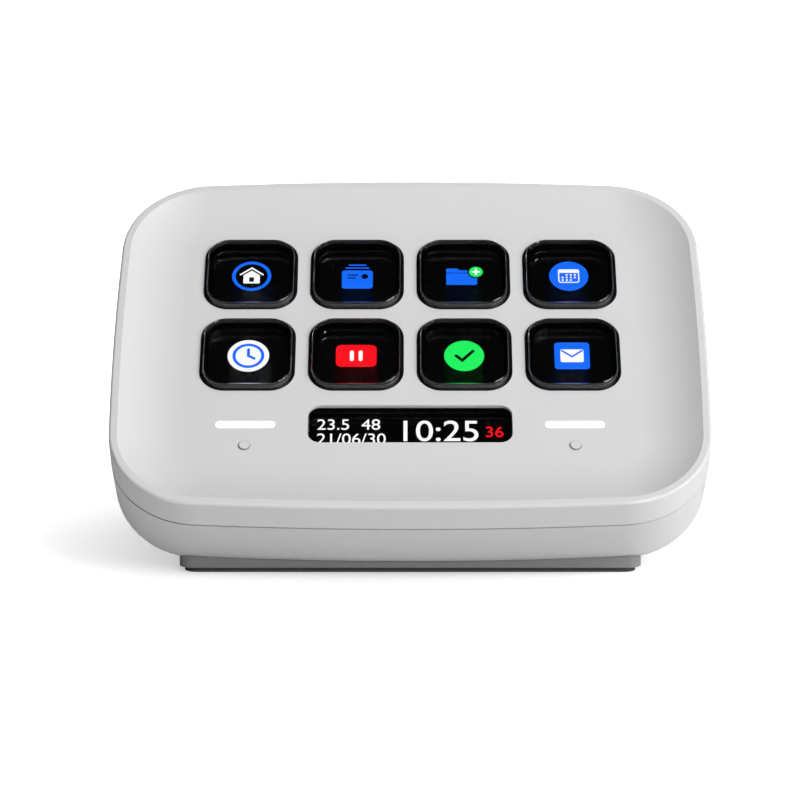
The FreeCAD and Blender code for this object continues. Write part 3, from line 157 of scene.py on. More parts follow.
class KeypadColours(bpy.types.PropertyGroup):
    """Colours of the finishes and of what the displays show."""

    shell: FloatVectorProperty(
        name="Shell", description="Moulded housings",
        default=(0.765, 0.765, 0.765), **COLOUR)
    stand: FloatVectorProperty(
        name="Stand", description="Moulded stand",
        default=(0.25, 0.25, 0.25), **COLOUR)
    pad: FloatVectorProperty(
        name="Foot pad", description="Rubber foot pad",
        default=(0.085, 0.085, 0.085), **COLOUR)
    black: FloatVectorProperty(
        name="Black parts", description="Key frame and key skirts",
        default=(0.006, 0.006, 0.0065), **COLOUR)
    blue: FloatVectorProperty(
        name="Blue", description="Blue of the displays",
        default=(0.006, 0.15, 1.0), **COLOUR)
    red: FloatVectorProperty(
        name="Red", description="Red of the displays",
        default=(1.0, 0.004, 0.012), **COLOUR)
    green: FloatVectorProperty(
        name="Green", description="Green of the displays",
        default=(0.015, 0.90, 0.12), **COLOUR)
    white: FloatVectorProperty(
        name="White", description="White of the displays and light bars",
        default=(1.0, 1.0, 1.0), **COLOUR)


def sizes():
    """The sizes that hold in this scene."""
    return bpy.context.scene.keypad_sizes


def colours():
    """The colours that hold in this scene."""
    return bpy.context.scene.keypad_colours


# Surfaces: rings of points along a path, as whole arrays
def quarter_turn(steps):
    """Angles in equal steps from nothing to a quarter turn."""
    return np.linspace(0, math.pi / 2, steps + 1)


def outline_path(corner_steps=10, side_steps=8):
    """Signs and directions round a rounded rectangle, anticlockwise from its right side.

    A point of the outline lies at sign * (half size - radius) + direction * radius.
    Round a corner the sign stays and the direction turns. Along a side the
    direction stays and the sign runs from one corner's to the next one's.
    """
    corners = np.array([[1, 1], [-1, 1], [-1, -1], [1, -1]], dtype=float)
    angle = quarter_turn(corner_steps) + np.arange(4)[:, None] * math.pi / 2
    turning = np.stack([np.cos(angle), np.sin(angle)], axis=-1)
    share = np.linspace(0, 1, side_steps + 1)[1:-1, None]
    running = corners[:, None] * (1 - share) + np.roll(corners, -1, axis=0)[:, None] * share
    signs = np.concatenate([np.broadcast_to(corners[:, None], turning.shape), running], axis=1)
    ways = np.concatenate([turning, np.broadcast_to(turning[:, -1:], running.shape)], axis=1)
    return signs.reshape(-1, 2), ways.reshape(-1, 2)


def rounded(width, height, radius, **steps):
    """Outline of a rounded rectangle about the middle. Arrays of sizes give a stack of them."""
    signs, ways = outline_path(**steps)
    half = np.stack(np.broadcast_arrays(width, height), axis=-1)[..., None, :] / 2
    radius = np.asarray(radius, dtype=float)[..., None, None]
    return signs * (half - radius) + ways * radius


def disc(radius, steps=64):
    """Circle: radius times the cosine and the sine of the angle."""
    angle = np.linspace(0, 2 * math.pi, steps, endpoint=False)
    return radius * np.column_stack([np.cos(angle), np.sin(angle)])


def at_height(outline, height):
    """Outlines with a height out of the face as their third coordinate."""
    height = np.asarray(height, dtype=float)[..., None, None]
    height = np.broadcast_to(height, outline.shape[:-1] + (1,))
    return np.concatenate([outline, height], axis=-1)


def closed_skin(rings):
    """Points and faces of a closed skin over rings of points, from the first to the last.

    Each quad joins two neighbours of a ring to the same two of the next ring.
    A fan to the middle of the first and of the last ring closes the ends.
    """
    count, around = rings.shape[:2]
    ends = rings[[0, -1]].mean(axis=1)
    here = np.arange(around)
    after = (here + 1) % around
    start = np.arange(count - 1)[:, None] * around
    near, far = start + here, start + after
    quads = np.stack([near, far, far + around, near + around], axis=-1)
    last = (count - 1) * around
    low_fan = np.column_stack([np.full(around, count * around), after, here])
    high_fan = np.column_stack([np.full(around, count * around + 1), last + here, last + after])
    points = np.concatenate([rings.reshape(-1, 3), ends])
    return points, quads.reshape(-1, 4).tolist() + low_fan.tolist() + high_fan.tolist()


def looped_skin(rings):
    """Points and faces of a closed skin whose last ring joins the first, as on a hoop."""
    count, around = rings.shape[:2]
    here = np.arange(around)
    after = (here + 1) % around
    start = np.arange(count)[:, None] * around
    following = np.roll(start, -1, axis=0)
    quads = np.stack([start + here, start + after, following + after, following + here], axis=-1)
    return rings.reshape(-1, 3), quads.reshape(-1, 4).tolist()


# Thickness of one layer of what a display shows, in millimetres
LAYER = 0.012


def layer_heights(layer):
    """Heights of a layer's foot and of its top."""
    return layer * LAYER, (layer + 1) * LAYER


def plate(outline, layer=0):
    """Thin plate with that outline: one ring at its foot and one at its top."""
    return closed_skin(at_height(np.stack([outline, outline]), layer_heights(layer)))


def band(outer, inner, layer=0):
    """Thin frame between two outlines: rings at the foot, then back over the top."""
    low, high = layer_heights(layer)
    rings = np.stack([inner, outer, outer, inner])
    return looped_skin(at_height(rings, [low, low, high, high]))


# Sections in a stroke's round end, and the place of the first as a share of the quarter turn
END_SECTIONS = 4
END_TIP = 0.04


def stroke(path, width, layer=0):
    """Flat stroke of a width along a path of points, with round ends.

    Each section lies across the path, at half the turn in its corners, where
    it widens by one over the cosine of half the turn. More sections at each
    end narrow on a half circle: reach and width are its cosine and sine.
    """
    path = np.asarray(path, dtype=float)
    runs = np.diff(path, axis=0)
    runs /= np.linalg.norm(runs, axis=1, keepdims=True)
    before = np.concatenate([runs[:1], runs])
    behind = np.concatenate([runs, runs[-1:]])
    middle = before + behind
    middle /= np.linalg.norm(middle, axis=1, keepdims=True)
    half = width / 2 / (middle * before).sum(axis=1)
    angle = np.linspace(END_TIP, 1, END_SECTIONS + 1)[:-1, None] * math.pi / 2
    start = path[0] - runs[0] * np.cos(angle) * width / 2
    end = path[-1] + runs[-1] * np.cos(angle[::-1]) * width / 2
    narrow = np.sin(angle[:, 0]) * width / 2
    points = np.concatenate([start, path, end])
    first, last = (np.repeat(run, END_SECTIONS, axis=0) for run in (runs[:1], runs[-1:]))
    along = np.concatenate([first, middle, last])
    half = np.concatenate([narrow, half, narrow[::-1]])[:, None]
    left = np.column_stack([-along[:, 1], along[:, 0]]) * half
    sides = np.stack([points + left, points + left, points - left, points - left], axis=1)
    low, high = layer_heights(layer)
    heights = np.array([low, high, high, low])[:, None]
    heights = np.broadcast_to(heights, sides.shape[:-1] + (1,))
    return closed_skin(np.concatenate([sides, heights], axis=-1))


def moved(skin, x=0.0, y=0.0):
    """The same skin, moved over the face."""
    points, faces = skin
    return points + np.array([x, y, 0.0]), faces


def new_piece(name, points, faces, material, body):
    """Mesh object from points in the frame, that moves with a CAD body."""
    mesh = bpy.data.meshes.new(name)
    mesh.from_pydata(points.tolist(), [], faces)
    mesh.polygons.foreach_set("use_smooth", np.ones(len(mesh.polygons), dtype=bool))
    mesh.materials.append(material)
    mesh.update()
    piece = bpy.data.objects.new(name, mesh)
    bpy.context.scene.collection.objects.link(piece)
    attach(piece, body)
    return piece


def clear_piece(name, rings, middle, materials, bands, body):
    """Closed clear piece over rings about a middle.

    Bands gives the place of the material for the faces between each two rings,
    from the first ring on. All faces after them take the first material.
    """
    points, faces = closed_skin(rings + np.append(middle, 0.0))
    piece = new_piece(name, to_row(points), faces, materials[0], body)
    for material in materials[1:]:
        piece.data.materials.append(material)
    index = np.zeros(len(faces), dtype=np.int32)
    index[:len(bands) * rings.shape[1]] = np.repeat(bands, rings.shape[1])
    piece.data.polygons.foreach_set("material_index", index)
    piece.modifiers.new("Even Shading", "WEIGHTED_NORMAL")
    return piece


def lit_piece(name, parts, scale, middle, height, material):
    """One flat lit mesh from several skins, each with its colour kept in the attribute tint.

    The skins are scaled along the face about their start, which is then moved
    to the middle, at a height out of the slab.
    """
    skins, tints = zip(*parts)
    counts = [len(points) for points, faces in skins]
    starts = np.cumsum([0] + counts[:-1])
    points = np.concatenate([points for points, faces in skins]) * np.array([scale, scale, 1.0])
    faces = [[start + corner for corner in face]
             for start, (points_before, skin_faces) in zip(starts, skins) for face in skin_faces]
    piece = new_piece(name, to_row(points + np.append(middle, height)), faces, material, ROOT)
    piece.data.polygons.foreach_set("use_smooth", np.zeros(len(faces), dtype=bool))
    rows = [np.tile([*tint, 1.0], (count, 1)) for count, tint in zip(counts, tints)]
    attribute = piece.data.color_attributes.new("tint", "FLOAT_COLOR", "POINT")
    attribute.data.foreach_set("color", np.concatenate(rows).ravel())
    return piece


# Node groups that several finishes use
def new_group(name, inputs, outputs):
    """Empty shader group with float inputs and outputs, and its two end nodes."""
    tree = bpy.data.node_groups.new(name, "ShaderNodeTree")
    kind = "NodeSocketFloat"
    for label, default in inputs.items():
        socket = tree.interface.new_socket(name=label, in_out="INPUT", socket_type=kind)
        socket.default_value = default
    for label in outputs:
        tree.interface.new_socket(name=label, in_out="OUTPUT", socket_type=kind)
    return tree, tree.nodes.new("NodeGroupInput"), tree.nodes.new("NodeGroupOutput")


def feed(tree, source, socket):
    """Sets a socket to a plain number or colour, or links another socket to it."""
    if isinstance(source, (int, float, tuple)):
        socket.default_value = source
    else:
        tree.links.new(source, socket)


def math_node(tree, operation, *sources):
    """Math node whose inputs are sockets or plain numbers. Gives its output."""
    node = tree.nodes.new("ShaderNodeMath")
    node.operation = operation
    for socket, source in zip(node.inputs, sources):
        feed(tree, source, socket)
    return node.outputs[0]


def noise(tree, coordinates, scale, detail=2.0, rough=0.5):
    """Noise over the coordinates, with a scale that may be a socket."""
    node = tree.nodes.new("ShaderNodeTexNoise")
    node.inputs["Detail"].default_value = detail
    node.inputs["Roughness"].default_value = rough
    tree.links.new(coordinates, node.inputs["Vector"])
    feed(tree, scale, node.inputs["Scale"])
    return node.outputs["Fac"]


def stretched(tree, coordinates, scale):
    """Coordinates stretched by three factors."""
    node = tree.nodes.new("ShaderNodeMapping")
    node.inputs["Scale"].default_value = scale
    tree.links.new(coordinates, node.inputs["Vector"])
    return node.outputs["Vector"]


def object_coordinates(tree):
    """Places in the frame, in metres."""
    return tree.nodes.new("ShaderNodeTexCoord").outputs["Object"]


def slab_coordinates(tree):
    """Object coordinates turned to the slab's directions, one output for each."""
    turn = tree.nodes.new("ShaderNodeVectorRotate")
    turn.rotation_type = "X_AXIS"
    turn.inputs["Angle"].default_value = -LEAN
    tree.links.new(object_coordinates(tree), turn.inputs["Vector"])
    split = tree.nodes.new("ShaderNodeSeparateXYZ")
    tree.links.new(turn.outputs["Vector"], split.inputs["Vector"])
    return split.outputs


def moulded_grain():
    """Fine eroded texture of a mould, with a slow drift in shade: Height, Shade and Gloss.

    Gloss is made of two fifths of the fine noise and three fifths of the slow one.
    """
    tree, start, end = new_group(
        "Moulded Grain", {"Grain": 5000.0, "Drift": 40.0}, ["Height", "Shade", "Gloss"])
    place = object_coordinates(tree)
    fine = noise(tree, place, start.outputs["Grain"], detail=3.0)
    slow = noise(tree, place, start.outputs["Drift"], detail=1.0)
    tree.links.new(fine, end.inputs["Height"])
    tree.links.new(slow, end.inputs["Shade"])
    parts = [math_node(tree, "MULTIPLY", fine, 0.4), math_node(tree, "MULTIPLY", slow, 0.6)]
    tree.links.new(math_node(tree, "ADD", *parts), end.inputs["Gloss"])
    return tree


# The noise at which a smear starts and at which it is full, and how long smears are drawn
SMEAR_START = 0.45
SMEAR_FULL = 0.75
SMEAR_STRETCH = (1.0, 0.35, 0.35)


def handling_marks():
    """Faint smears where hands and cloths go: a mask from nothing to one."""
    tree, start, end = new_group("Handling Marks", {"Smear": 120.0}, ["Mask"])
    place = stretched(tree, object_coordinates(tree), SMEAR_STRETCH)
    smear = noise(tree, place, start.outputs["Smear"], detail=4.0, rough=0.6)
    ramp = tree.nodes.new("ShaderNodeMapRange")
    ramp.inputs["From Min"].default_value = SMEAR_START
    ramp.inputs["From Max"].default_value = SMEAR_FULL
    tree.links.new(smear, ramp.inputs["Value"])
    tree.links.new(ramp.outputs["Result"], end.inputs["Mask"])
    return tree


# Light in the gaps between a display's pixels
GAP_LIGHT = 0.88


def screen_pixels():
    """Pixel lattice of a display along the slab: one inside a pixel, less in the gaps between."""
    tree, start, end = new_group("Screen Pixels", {"Pitch": 0.00012, "Gap": 0.25}, ["Light"])
    place = slab_coordinates(tree)
    inside = []
    for axis in "XY":
        cells = math_node(tree, "DIVIDE", place[axis], start.outputs["Pitch"])
        across = math_node(tree, "FRACT", cells)
        inside.append(math_node(tree, "GREATER_THAN", across, start.outputs["Gap"]))
    lit = math_node(tree, "MULTIPLY", math_node(tree, "MULTIPLY", *inside), 1 - GAP_LIGHT)
    tree.links.new(math_node(tree, "ADD", lit, GAP_LIGHT), end.inputs["Light"])
    return tree


def touch_dot_painted_shade():
    """Painted shade in the corner round each raised touch dot: a mask up to one.

    The distance to the nearer dot's middle is the length of (|x| - out, y - up)
    along the face. The mask falls off in a line on both sides of the radius.
    """
    tree, start, end = new_group(
        "Touch Rings", {"Out": 0.0293, "Up": 0.0, "Radius": 0.001, "Line": 0.0001}, ["Mask"])
    place = slab_coordinates(tree)
    joined = tree.nodes.new("ShaderNodeCombineXYZ")
    side = math_node(tree, "ABSOLUTE", place["X"])
    tree.links.new(math_node(tree, "SUBTRACT", side, start.outputs["Out"]), joined.inputs["X"])
    rise = math_node(tree, "SUBTRACT", place["Y"], start.outputs["Up"])
    tree.links.new(rise, joined.inputs["Y"])
    away = tree.nodes.new("ShaderNodeVectorMath")
    away.operation = "LENGTH"
    tree.links.new(joined.outputs["Vector"], away.inputs[0])
    off = math_node(tree, "SUBTRACT", away.outputs["Value"], start.outputs["Radius"])
    off = math_node(tree, "DIVIDE", math_node(tree, "ABSOLUTE", off), start.outputs["Line"])
    mask = math_node(tree, "MAXIMUM", math_node(tree, "SUBTRACT", 1.0, off), 0.0)
    tree.links.new(mask, end.inputs["Mask"])
    return tree


# How brushed lines are drawn out along X, and the scale of the slower noise in their shade
LINE_STRETCH = (0.02, 1.0, 1.0)
LINE_SHADE_SCALE = 300.0


def brushed_lines():
    """Fine lines of a drawn or brushed metal, mostly along X: Height and Shade."""
    tree, start, end = new_group("Brushed Lines", {"Lines": 9000.0}, ["Height", "Shade"])
    place = object_coordinates(tree)
    drawn = stretched(tree, place, LINE_STRETCH)
    lines = noise(tree, drawn, start.outputs["Lines"], detail=3.0)
    tree.links.new(lines, end.inputs["Height"])
    tree.links.new(noise(tree, place, LINE_SHADE_SCALE), end.inputs["Shade"])
    return tree


GROUPS = {
    "Moulded Grain": moulded_grain,
    "Handling Marks": handling_marks,
    "Screen Pixels": screen_pixels,
    "Touch Rings": touch_dot_painted_shade,
    "Brushed Lines": brushed_lines,
}


class Finish:
    """A material being built: its tree, its shader and the groups placed in it."""

    def __init__(self, name, colour, roughness, **shader):
        self.material = bpy.data.materials.new(name)
        self.material.use_nodes = True
        self.tree = self.material.node_tree
        self.shader = self.tree.nodes["Principled BSDF"]
        self.colour = colour
        self.roughness = roughness
        self.shader.inputs["Base Color"].default_value = (*colour, 1.0)
        self.shader.inputs["Roughness"].default_value = roughness
        for label, number in shader.items():
            label = label.replace("_", " ").title().replace("Ior", "IOR")
            self.shader.inputs[label].default_value = number

    def place(self, group_name, **settings):
        """Puts a group in the material with its own values. The first use builds the group."""
        node = self.tree.nodes.new("ShaderNodeGroup")
        node.node_tree = bpy.data.node_groups.get(group_name) or GROUPS[group_name]()
        for label, number in settings.items():
            node.inputs[label].default_value = number
        return node

    def darkened(self, amount):
        """The finish's own colour, darker by a share."""
        return (*[part * (1 - amount) for part in self.colour], 1.0)

    def blend(self, source, first, second):
        """Colour between two others: the first where the source is nothing, the second at one."""
        mix = self.tree.nodes.new("ShaderNodeMix")
        mix.data_type = "RGBA"
        feed(self.tree, first, mix.inputs["A"])
        feed(self.tree, second, mix.inputs["B"])
        self.tree.links.new(source, mix.inputs["Factor"])
        return mix.outputs["Result"]

    def shade(self, source, amount):
        """Base colour that turns from what it was to a darker one where the source is high."""
        base = self.shader.inputs["Base Color"]
        so_far = base.links[0].from_socket if base.links else (*self.colour, 1.0)
        self.tree.links.new(self.blend(source, so_far, self.darkened(amount)), base)

    def gloss(self, source, amount):
        """Roughness that varies about its value with the source."""
        node = self.tree.nodes.new("ShaderNodeMapRange")
        node.inputs["To Min"].default_value = self.roughness - amount
        node.inputs["To Max"].default_value = self.roughness + amount
        self.tree.links.new(source, node.inputs["Value"])
        self.tree.links.new(node.outputs["Result"], self.shader.inputs["Roughness"])

    def bump(self, source, depth):
        """Relief with a depth in metres."""
        node = self.tree.nodes.new("ShaderNodeBump")
        node.inputs["Strength"].default_value = 1.0
        node.inputs["Distance"].default_value = depth
        self.tree.links.new(source, node.inputs["Height"])
        self.tree.links.new(node.outputs["Normal"], self.shader.inputs["Normal"])


# Drift of a moulding's and of a metal's gloss, as shares of the roughness, and a metal's tone
MOULDED_DRIFT = 0.15
METAL_DRIFT = 0.4
METAL_TONE = 0.25
# Clear plastic: its refraction, its roughness, and how much smears change that
CLEAR_IOR = 1.49
CLEAR_ROUGHNESS = 0.017
CLEAR_SMEARS = 0.013
# How much darker the shell is painted right in the corner round a touch dot, as painted shade
PAINTED_CORNER_SHADE = 0.7


def grained(finish, grain=5000.0, depth=0.004 * MM, tone=0.03):
    """Gives a finish an eroded grain, and a slow drift in shade and in gloss."""
    texture = finish.place("Moulded Grain", Grain=grain)
    finish.shade(texture.outputs["Shade"], tone)
    finish.gloss(texture.outputs["Gloss"], finish.roughness * MOULDED_DRIFT)
    finish.bump(texture.outputs["Height"], depth)
    return finish


def moulded(name, colour, roughness, grain=5000.0, depth=0.004 * MM, tone=0.03, **shader):
    """Moulded plastic or rubber."""
    return grained(Finish(name, colour, roughness, **shader), grain, depth, tone).material


def shell_finish(name, colour, roughness, **shader):
    """Moulded shell, with painted shade in the corners round its touch dots."""
    finish = grained(Finish(name, colour, roughness, **shader))
    out, up = slab_middle("touch_contact_right")[:2] * MM
    rings = finish.place(
        "Touch Rings", Out=out, Up=up, Radius=sizes().dot_ring, Line=sizes().dot_line)
    # Painted shade in the corner round each touch dot
    finish.shade(rings.outputs["Mask"], PAINTED_CORNER_SHADE)
    return finish.material


def metal(name, colour, roughness, lines=9000.0, depth=0.002 * MM):
    """Drawn or stamped metal: fine lines in relief and in shade."""
    finish = Finish(name, colour, roughness, metallic=1.0)
    texture = finish.place("Brushed Lines", Lines=lines)
    finish.shade(texture.outputs["Shade"], METAL_TONE)
    finish.gloss(texture.outputs["Height"], roughness * METAL_DRIFT)
    finish.bump(texture.outputs["Height"], depth)
    return finish.material


def clear(name, colour, smear):
    """Polished clear plastic with faint smears in its gloss."""
    finish = Finish(name, colour, CLEAR_ROUGHNESS, transmission_weight=1.0, ior=CLEAR_IOR)
    marks = finish.place("Handling Marks", Smear=smear)
    finish.gloss(marks.outputs["Mask"], CLEAR_SMEARS)
    return finish.material


def cap_side():
    """Side of a clear cap as its mould leaves it: faintly milky, and less glossy than its top."""
    finish = Finish("cap_side", (0.9, 0.9, 0.92), 0.1, transmission_weight=0.9, ior=CLEAR_IOR)
    texture = finish.place("Moulded Grain", Grain=3000.0)
    finish.gloss(texture.outputs["Gloss"], 0.03)
    return finish.material


def printed_mask():
    """Black print on the sides of a clear piece: dead black, a little thinner here and there."""
    finish = Finish("printed_mask", (0.0015, 0.0015, 0.0016), 0.9, specular_ior_level=0.0)
    texture = finish.place("Moulded Grain", Grain=3000.0, Drift=300.0)
    finish.shade(texture.outputs["Shade"], 0.3)
    return finish.material


def display_glass(name, colour):
    """Black display: glossy, with its pixel lattice just visible in the shade."""
    finish = Finish(name, colour, 0.12)
    pixels = finish.place("Screen Pixels")
    finish.shade(pixels.outputs["Light"], 0.35)
    marks = finish.place("Handling Marks")
    finish.gloss(marks.outputs["Mask"], 0.04)
    return finish.material


def lit_display(name, strength):
    """Lit pixels: each point's own tint, through the pixel lattice."""
    finish = Finish(name, (0.0, 0.0, 0.0), 0.4, emission_strength=strength)
    tint = finish.tree.nodes.new("ShaderNodeAttribute")
    tint.attribute_name = "tint"
    pixels = finish.place("Screen Pixels")
    scaled = finish.tree.nodes.new("ShaderNodeVectorMath")
    scaled.operation = "SCALE"
    finish.tree.links.new(tint.outputs["Color"], scaled.inputs["Vector"])
    finish.tree.links.new(pixels.outputs["Light"], scaled.inputs["Scale"])
    finish.tree.links.new(scaled.outputs["Vector"], finish.shader.inputs["Emission Color"])
    return finish.material


def milky_light(name, colour, strength):
    """Milky light pipe, lit from behind, a little uneven along its length."""
    finish = Finish(name, colour, 0.35, emission_strength=strength)
    uneven = finish.place("Moulded Grain", Grain=2500.0, Drift=200.0)
    glow = finish.blend(uneven.outputs["Shade"], (*colour, 1.0), finish.darkened(0.07))
    finish.tree.links.new(glow, finish.shader.inputs["Emission Color"])
    finish.bump(uneven.outputs["Height"], 0.003 * MM)
    return finish.material


def dress(material, *nodes):
    """Gives CAD nodes a finish through their own material slots."""
    for node in nodes:
        for slot in frame["nodes"][node].material_slots:
            slot.material = material


# Places of a clear piece's materials
CLEAR, PRINT, SIDE = range(3)

# A cap's corner radius as a share of its width, the least radius of its inner rings, in
# millimetres, and the share of the way out of the last ring round the middle of its top
CAP_CORNER = 0.25
LEAST_CORNER = 0.2
CAP_INNERMOST = 0.04


def cap_rings(size, bottom, ledge, top):
    """Rings up a clear cap, from its plug's foot to the middle of its top.

    Every ring is a rounded rectangle. Its edges follow quarter circles: the
    reach in from the side is radius * (1 - cosine) and the rise radius * sine.
    The top rises to its middle by the crown times one minus the square of the
    share of the way out. Also gives the number of rings up to the foot's end.
    """
    settings = sizes()
    round_top, round_foot = settings.cap_round / MM, settings.cap_foot_round / MM
    crown, lap = settings.cap_crown / MM, settings.cap_lap / MM
    turn = quarter_turn(4)
    foot = round_foot * (1 - np.sin(turn))
    foot_rise = round_foot * (1 - np.cos(turn))
    turn = quarter_turn(12)
    edge = round_top * (1 - np.cos(turn))
    edge_height = top - crown - round_top + round_top * np.sin(turn)
    inset = np.concatenate([lap + foot, [lap], [2 * round_foot], foot, edge])
    height = np.concatenate(
        [bottom + foot_rise, [ledge], [ledge], ledge + foot_rise, edge_height])
    radius = np.maximum(size[0] * CAP_CORNER - inset, LEAST_CORNER)
    sides = size - 2 * inset[:, None]
    share = np.linspace(1, CAP_INNERMOST, 9)[1:]
    sides = np.concatenate([sides, sides[-1] * share[:, None]])
    radius = np.concatenate([radius, radius[-1] * share])
    height = np.concatenate([height, top - crown * share ** 2])
    foot_end = 2 * len(foot) + 2
    return at_height(rounded(sides[:, 0], sides[:, 1], radius), height), foot_end


class KEYPAD_OT_caps(bpy.types.Operator):
    """Clear caps that stand for the plain ones, each on its own key"""

    bl_idname = "keypad.caps"
    bl_label = "Clear Caps"

    def execute(self, context):
        materials = [clear("clear_cap", (0.98, 0.985, 0.99), 160.0), printed_mask(), cap_side()]
        for number in KEYS:
            node = f"key_cap_{number}"
            low, high = slab_box(node)
            ledge = slab_box(f"key_skirt_{number}")[1][2] + sizes().cap_seat / MM
            rings, foot_end = cap_rings((high - low)[:2], low[2], ledge, high[2])
            bands = [PRINT] * (foot_end - 1) + [SIDE]
            piece = clear_piece(f"clear_cap_{number}", rings, slab_middle(node)[:2],
                                materials, bands, f"key_{number}")
            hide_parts(node)
        return {"FINISHED"}


class KEYPAD_OT_window(bpy.types.Operator):
    """Window of the display strip, with black print on its sides, that stands for the plain one"""

    bl_idname = "keypad.window"
    bl_label = "Strip Window"

    def execute(self, context):
        settings = sizes()
        low, high = slab_box("info_lens")
        flange, rounding = settings.window_flange / MM, settings.window_round / MM
        bevel = 0.05
        foot, shoulder = low[2], low[2] + settings.window_flange_depth / MM
        turn = quarter_turn(8)
        inset = np.concatenate(
            [[bevel, 0.0, 0.0, bevel, flange], flange + rounding * (1 - np.cos(turn))])
        height = np.concatenate(
            [[foot, foot + bevel, shoulder - bevel, shoulder, shoulder],
             high[2] - rounding * (1 - np.sin(turn))])
        width, length = (high - low)[:2]
        radius = settings.window_corner / MM + flange - inset
        outlines = rounded(width - 2 * inset, length - 2 * inset, radius, side_steps=24)
        rings = at_height(outlines, height)
        materials = [clear("strip_window", (0.80, 0.80, 0.82), 90.0), printed_mask()]
        # The print covers the flange and the side above it, up to the rounding
        bands = [PRINT] * (len(inset) - len(turn))
        piece = clear_piece("strip_window", rings, slab_middle("info_lens")[:2],
                            materials, bands, ROOT)
        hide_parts("info_lens")
        return {"FINISHED"}


# Symbols: skins about the symbol's middle, each with its colour. Sizes are shares of the
# width of a round symbol, and a skin's last number is the layer it lies in.
DARK = (0.0, 0.0, 0.0)


def house_symbol(tint):
    """House in a ring."""
    ring = band(disc(0.50), disc(0.41))
    walls = plate(np.array(
        [[-0.21, -0.25], [0.21, -0.25], [0.21, 0.025], [0.0, 0.185], [-0.21, 0.025]]), 1)
    roof = stroke([(-0.285, 0.05), (0.0, 0.275), (0.285, 0.05)], 0.045, 1)
    door = moved(plate(rounded(0.12, 0.15, 0.01), 2), 0.0, -0.12)
    return [(ring, tint.blue), (walls, tint.white), (roof, tint.white), (door, DARK)]


def cards_symbol(tint):
    """Card with two more behind it."""
    card = moved(plate(rounded(0.79, 0.62, 0.08)), 0.0, -0.115)
    spot = moved(plate(disc(0.085), 1), 0.19, -0.015)
    behind = [moved(stroke([(-half, 0), (half, 0)], 0.04), 0.0, height)
              for half, height in ((0.29, 0.28), (0.21, 0.38))]
    rows = [moved(stroke([(-0.24, 0), (end, 0)], 0.04, 1), 0.0, height)
            for end, height in ((0.0, 0.035), (-0.06, -0.065))]
    return ([(card, tint.blue), (spot, DARK)] + [(line, tint.blue) for line in behind]
            + [(row, DARK) for row in rows])


def folder_symbol(tint):
    """Folder with a plus sign in a badge at its corner."""
    folder = plate(np.array([[-0.43, -0.30], [0.33, -0.30], [0.36, -0.27], [0.36, 0.20],
                             [-0.09, 0.20], [-0.15, 0.26], [-0.41, 0.26], [-0.43, 0.24]]))
    line = stroke([(-0.43, 0.105), (0.36, 0.105)], 0.02, 1)
    corner = (0.33, 0.14)
    gap = moved(plate(disc(0.215), 2), *corner)
    badge = moved(plate(disc(0.175), 3), *corner)
    plus = [moved(stroke(way, 0.05, 4), *corner)
            for way in ([(-0.085, 0), (0.085, 0)], [(0, -0.085), (0, 0.085)])]
    return ([(folder, tint.blue), (line, DARK), (gap, DARK), (badge, tint.green)]
            + [(part, tint.white) for part in plus])


def calendar_symbol(tint):
    """Calendar's sheet on a disc, with ten days in three rows."""
    ground = plate(disc(0.50))
    sheet = band(rounded(0.54, 0.46, 0.07), rounded(0.48, 0.40, 0.04), 1)
    head = moved(plate(rounded(0.54, 0.12, 0.05), 1), 0.0, 0.17)
    day = plate(rounded(0.05, 0.05, 0.008), 1)
    days = [moved(day, (column - 1.5) * 0.105, 0.04 - row * 0.09)
            for row in range(3) for column in range(4)][1:-1]
    return [(ground, tint.blue)] + [(part, tint.white) for part in (sheet, head, *days)]


def clock_symbol(tint):
    """Clock on a disc."""
    face = plate(disc(0.52))
    rim = band(disc(0.40), disc(0.32), 1)
    hands = stroke([(0.0, 0.21), (0.0, 0.0), (0.15, -0.09)], 0.075, 1)
    return [(face, tint.white), (rim, tint.blue), (hands, tint.blue)]


def pause_symbol(tint):
    """Pause sign on a rounded rectangle."""
    ground = plate(rounded(1.02, 0.72, 0.14))
    bars = [moved(stroke([(0, -0.12), (0, 0.12)], 0.10, 1), side * 0.11) for side in (-1, 1)]
    return [(ground, tint.red)] + [(part, tint.white) for part in bars]


def tick_symbol(tint):
    """Tick on a disc."""
    tick = stroke([(-0.20, 0.0), (-0.05, -0.15), (0.22, 0.15)], 0.085, 1)
    return [(plate(disc(0.50)), tint.green), (tick, DARK)]


def letter_symbol(tint):
    """Envelope on a rounded square."""
    ground = plate(rounded(0.88, 0.88, 0.09))
    sheet = plate(rounded(0.58, 0.42, 0.05), 1)
    flap = stroke([(-0.25, 0.165), (0.0, -0.03), (0.25, 0.165)], 0.05, 2)
    return [(ground, tint.blue), (sheet, tint.white), (flap, tint.blue)]


SYMBOLS = [house_symbol, cards_symbol, folder_symbol, calendar_symbol,
           clock_symbol, pause_symbol, tick_symbol, letter_symbol]

# Strength of the light from the symbols, the strip's numerals and the light bars
SYMBOL_LIGHT = 1.15
STRIP_LIGHT = 1.5
BAR_LIGHT = 1.1


class KEYPAD_OT_symbols(bpy.types.Operator):
    """Lit symbols on the display under the caps"""

    bl_idname = "keypad.symbols"
    bl_label = "Key Symbols"

    def execute(self, context):
        material = lit_display("lit_symbols", SYMBOL_LIGHT)
        width, rise = sizes().glyph_size / MM, sizes().glyph_rise / MM
        for number, symbol in zip(KEYS, SYMBOLS):
            middle = slab_middle(f"key_cap_{number}")[:2] + np.array([0.0, rise])
            parts = symbol(colours())
            piece = lit_piece(f"symbol_{number}", parts, width, middle, FILM_TOP, material)
        return {"FINISHED"}


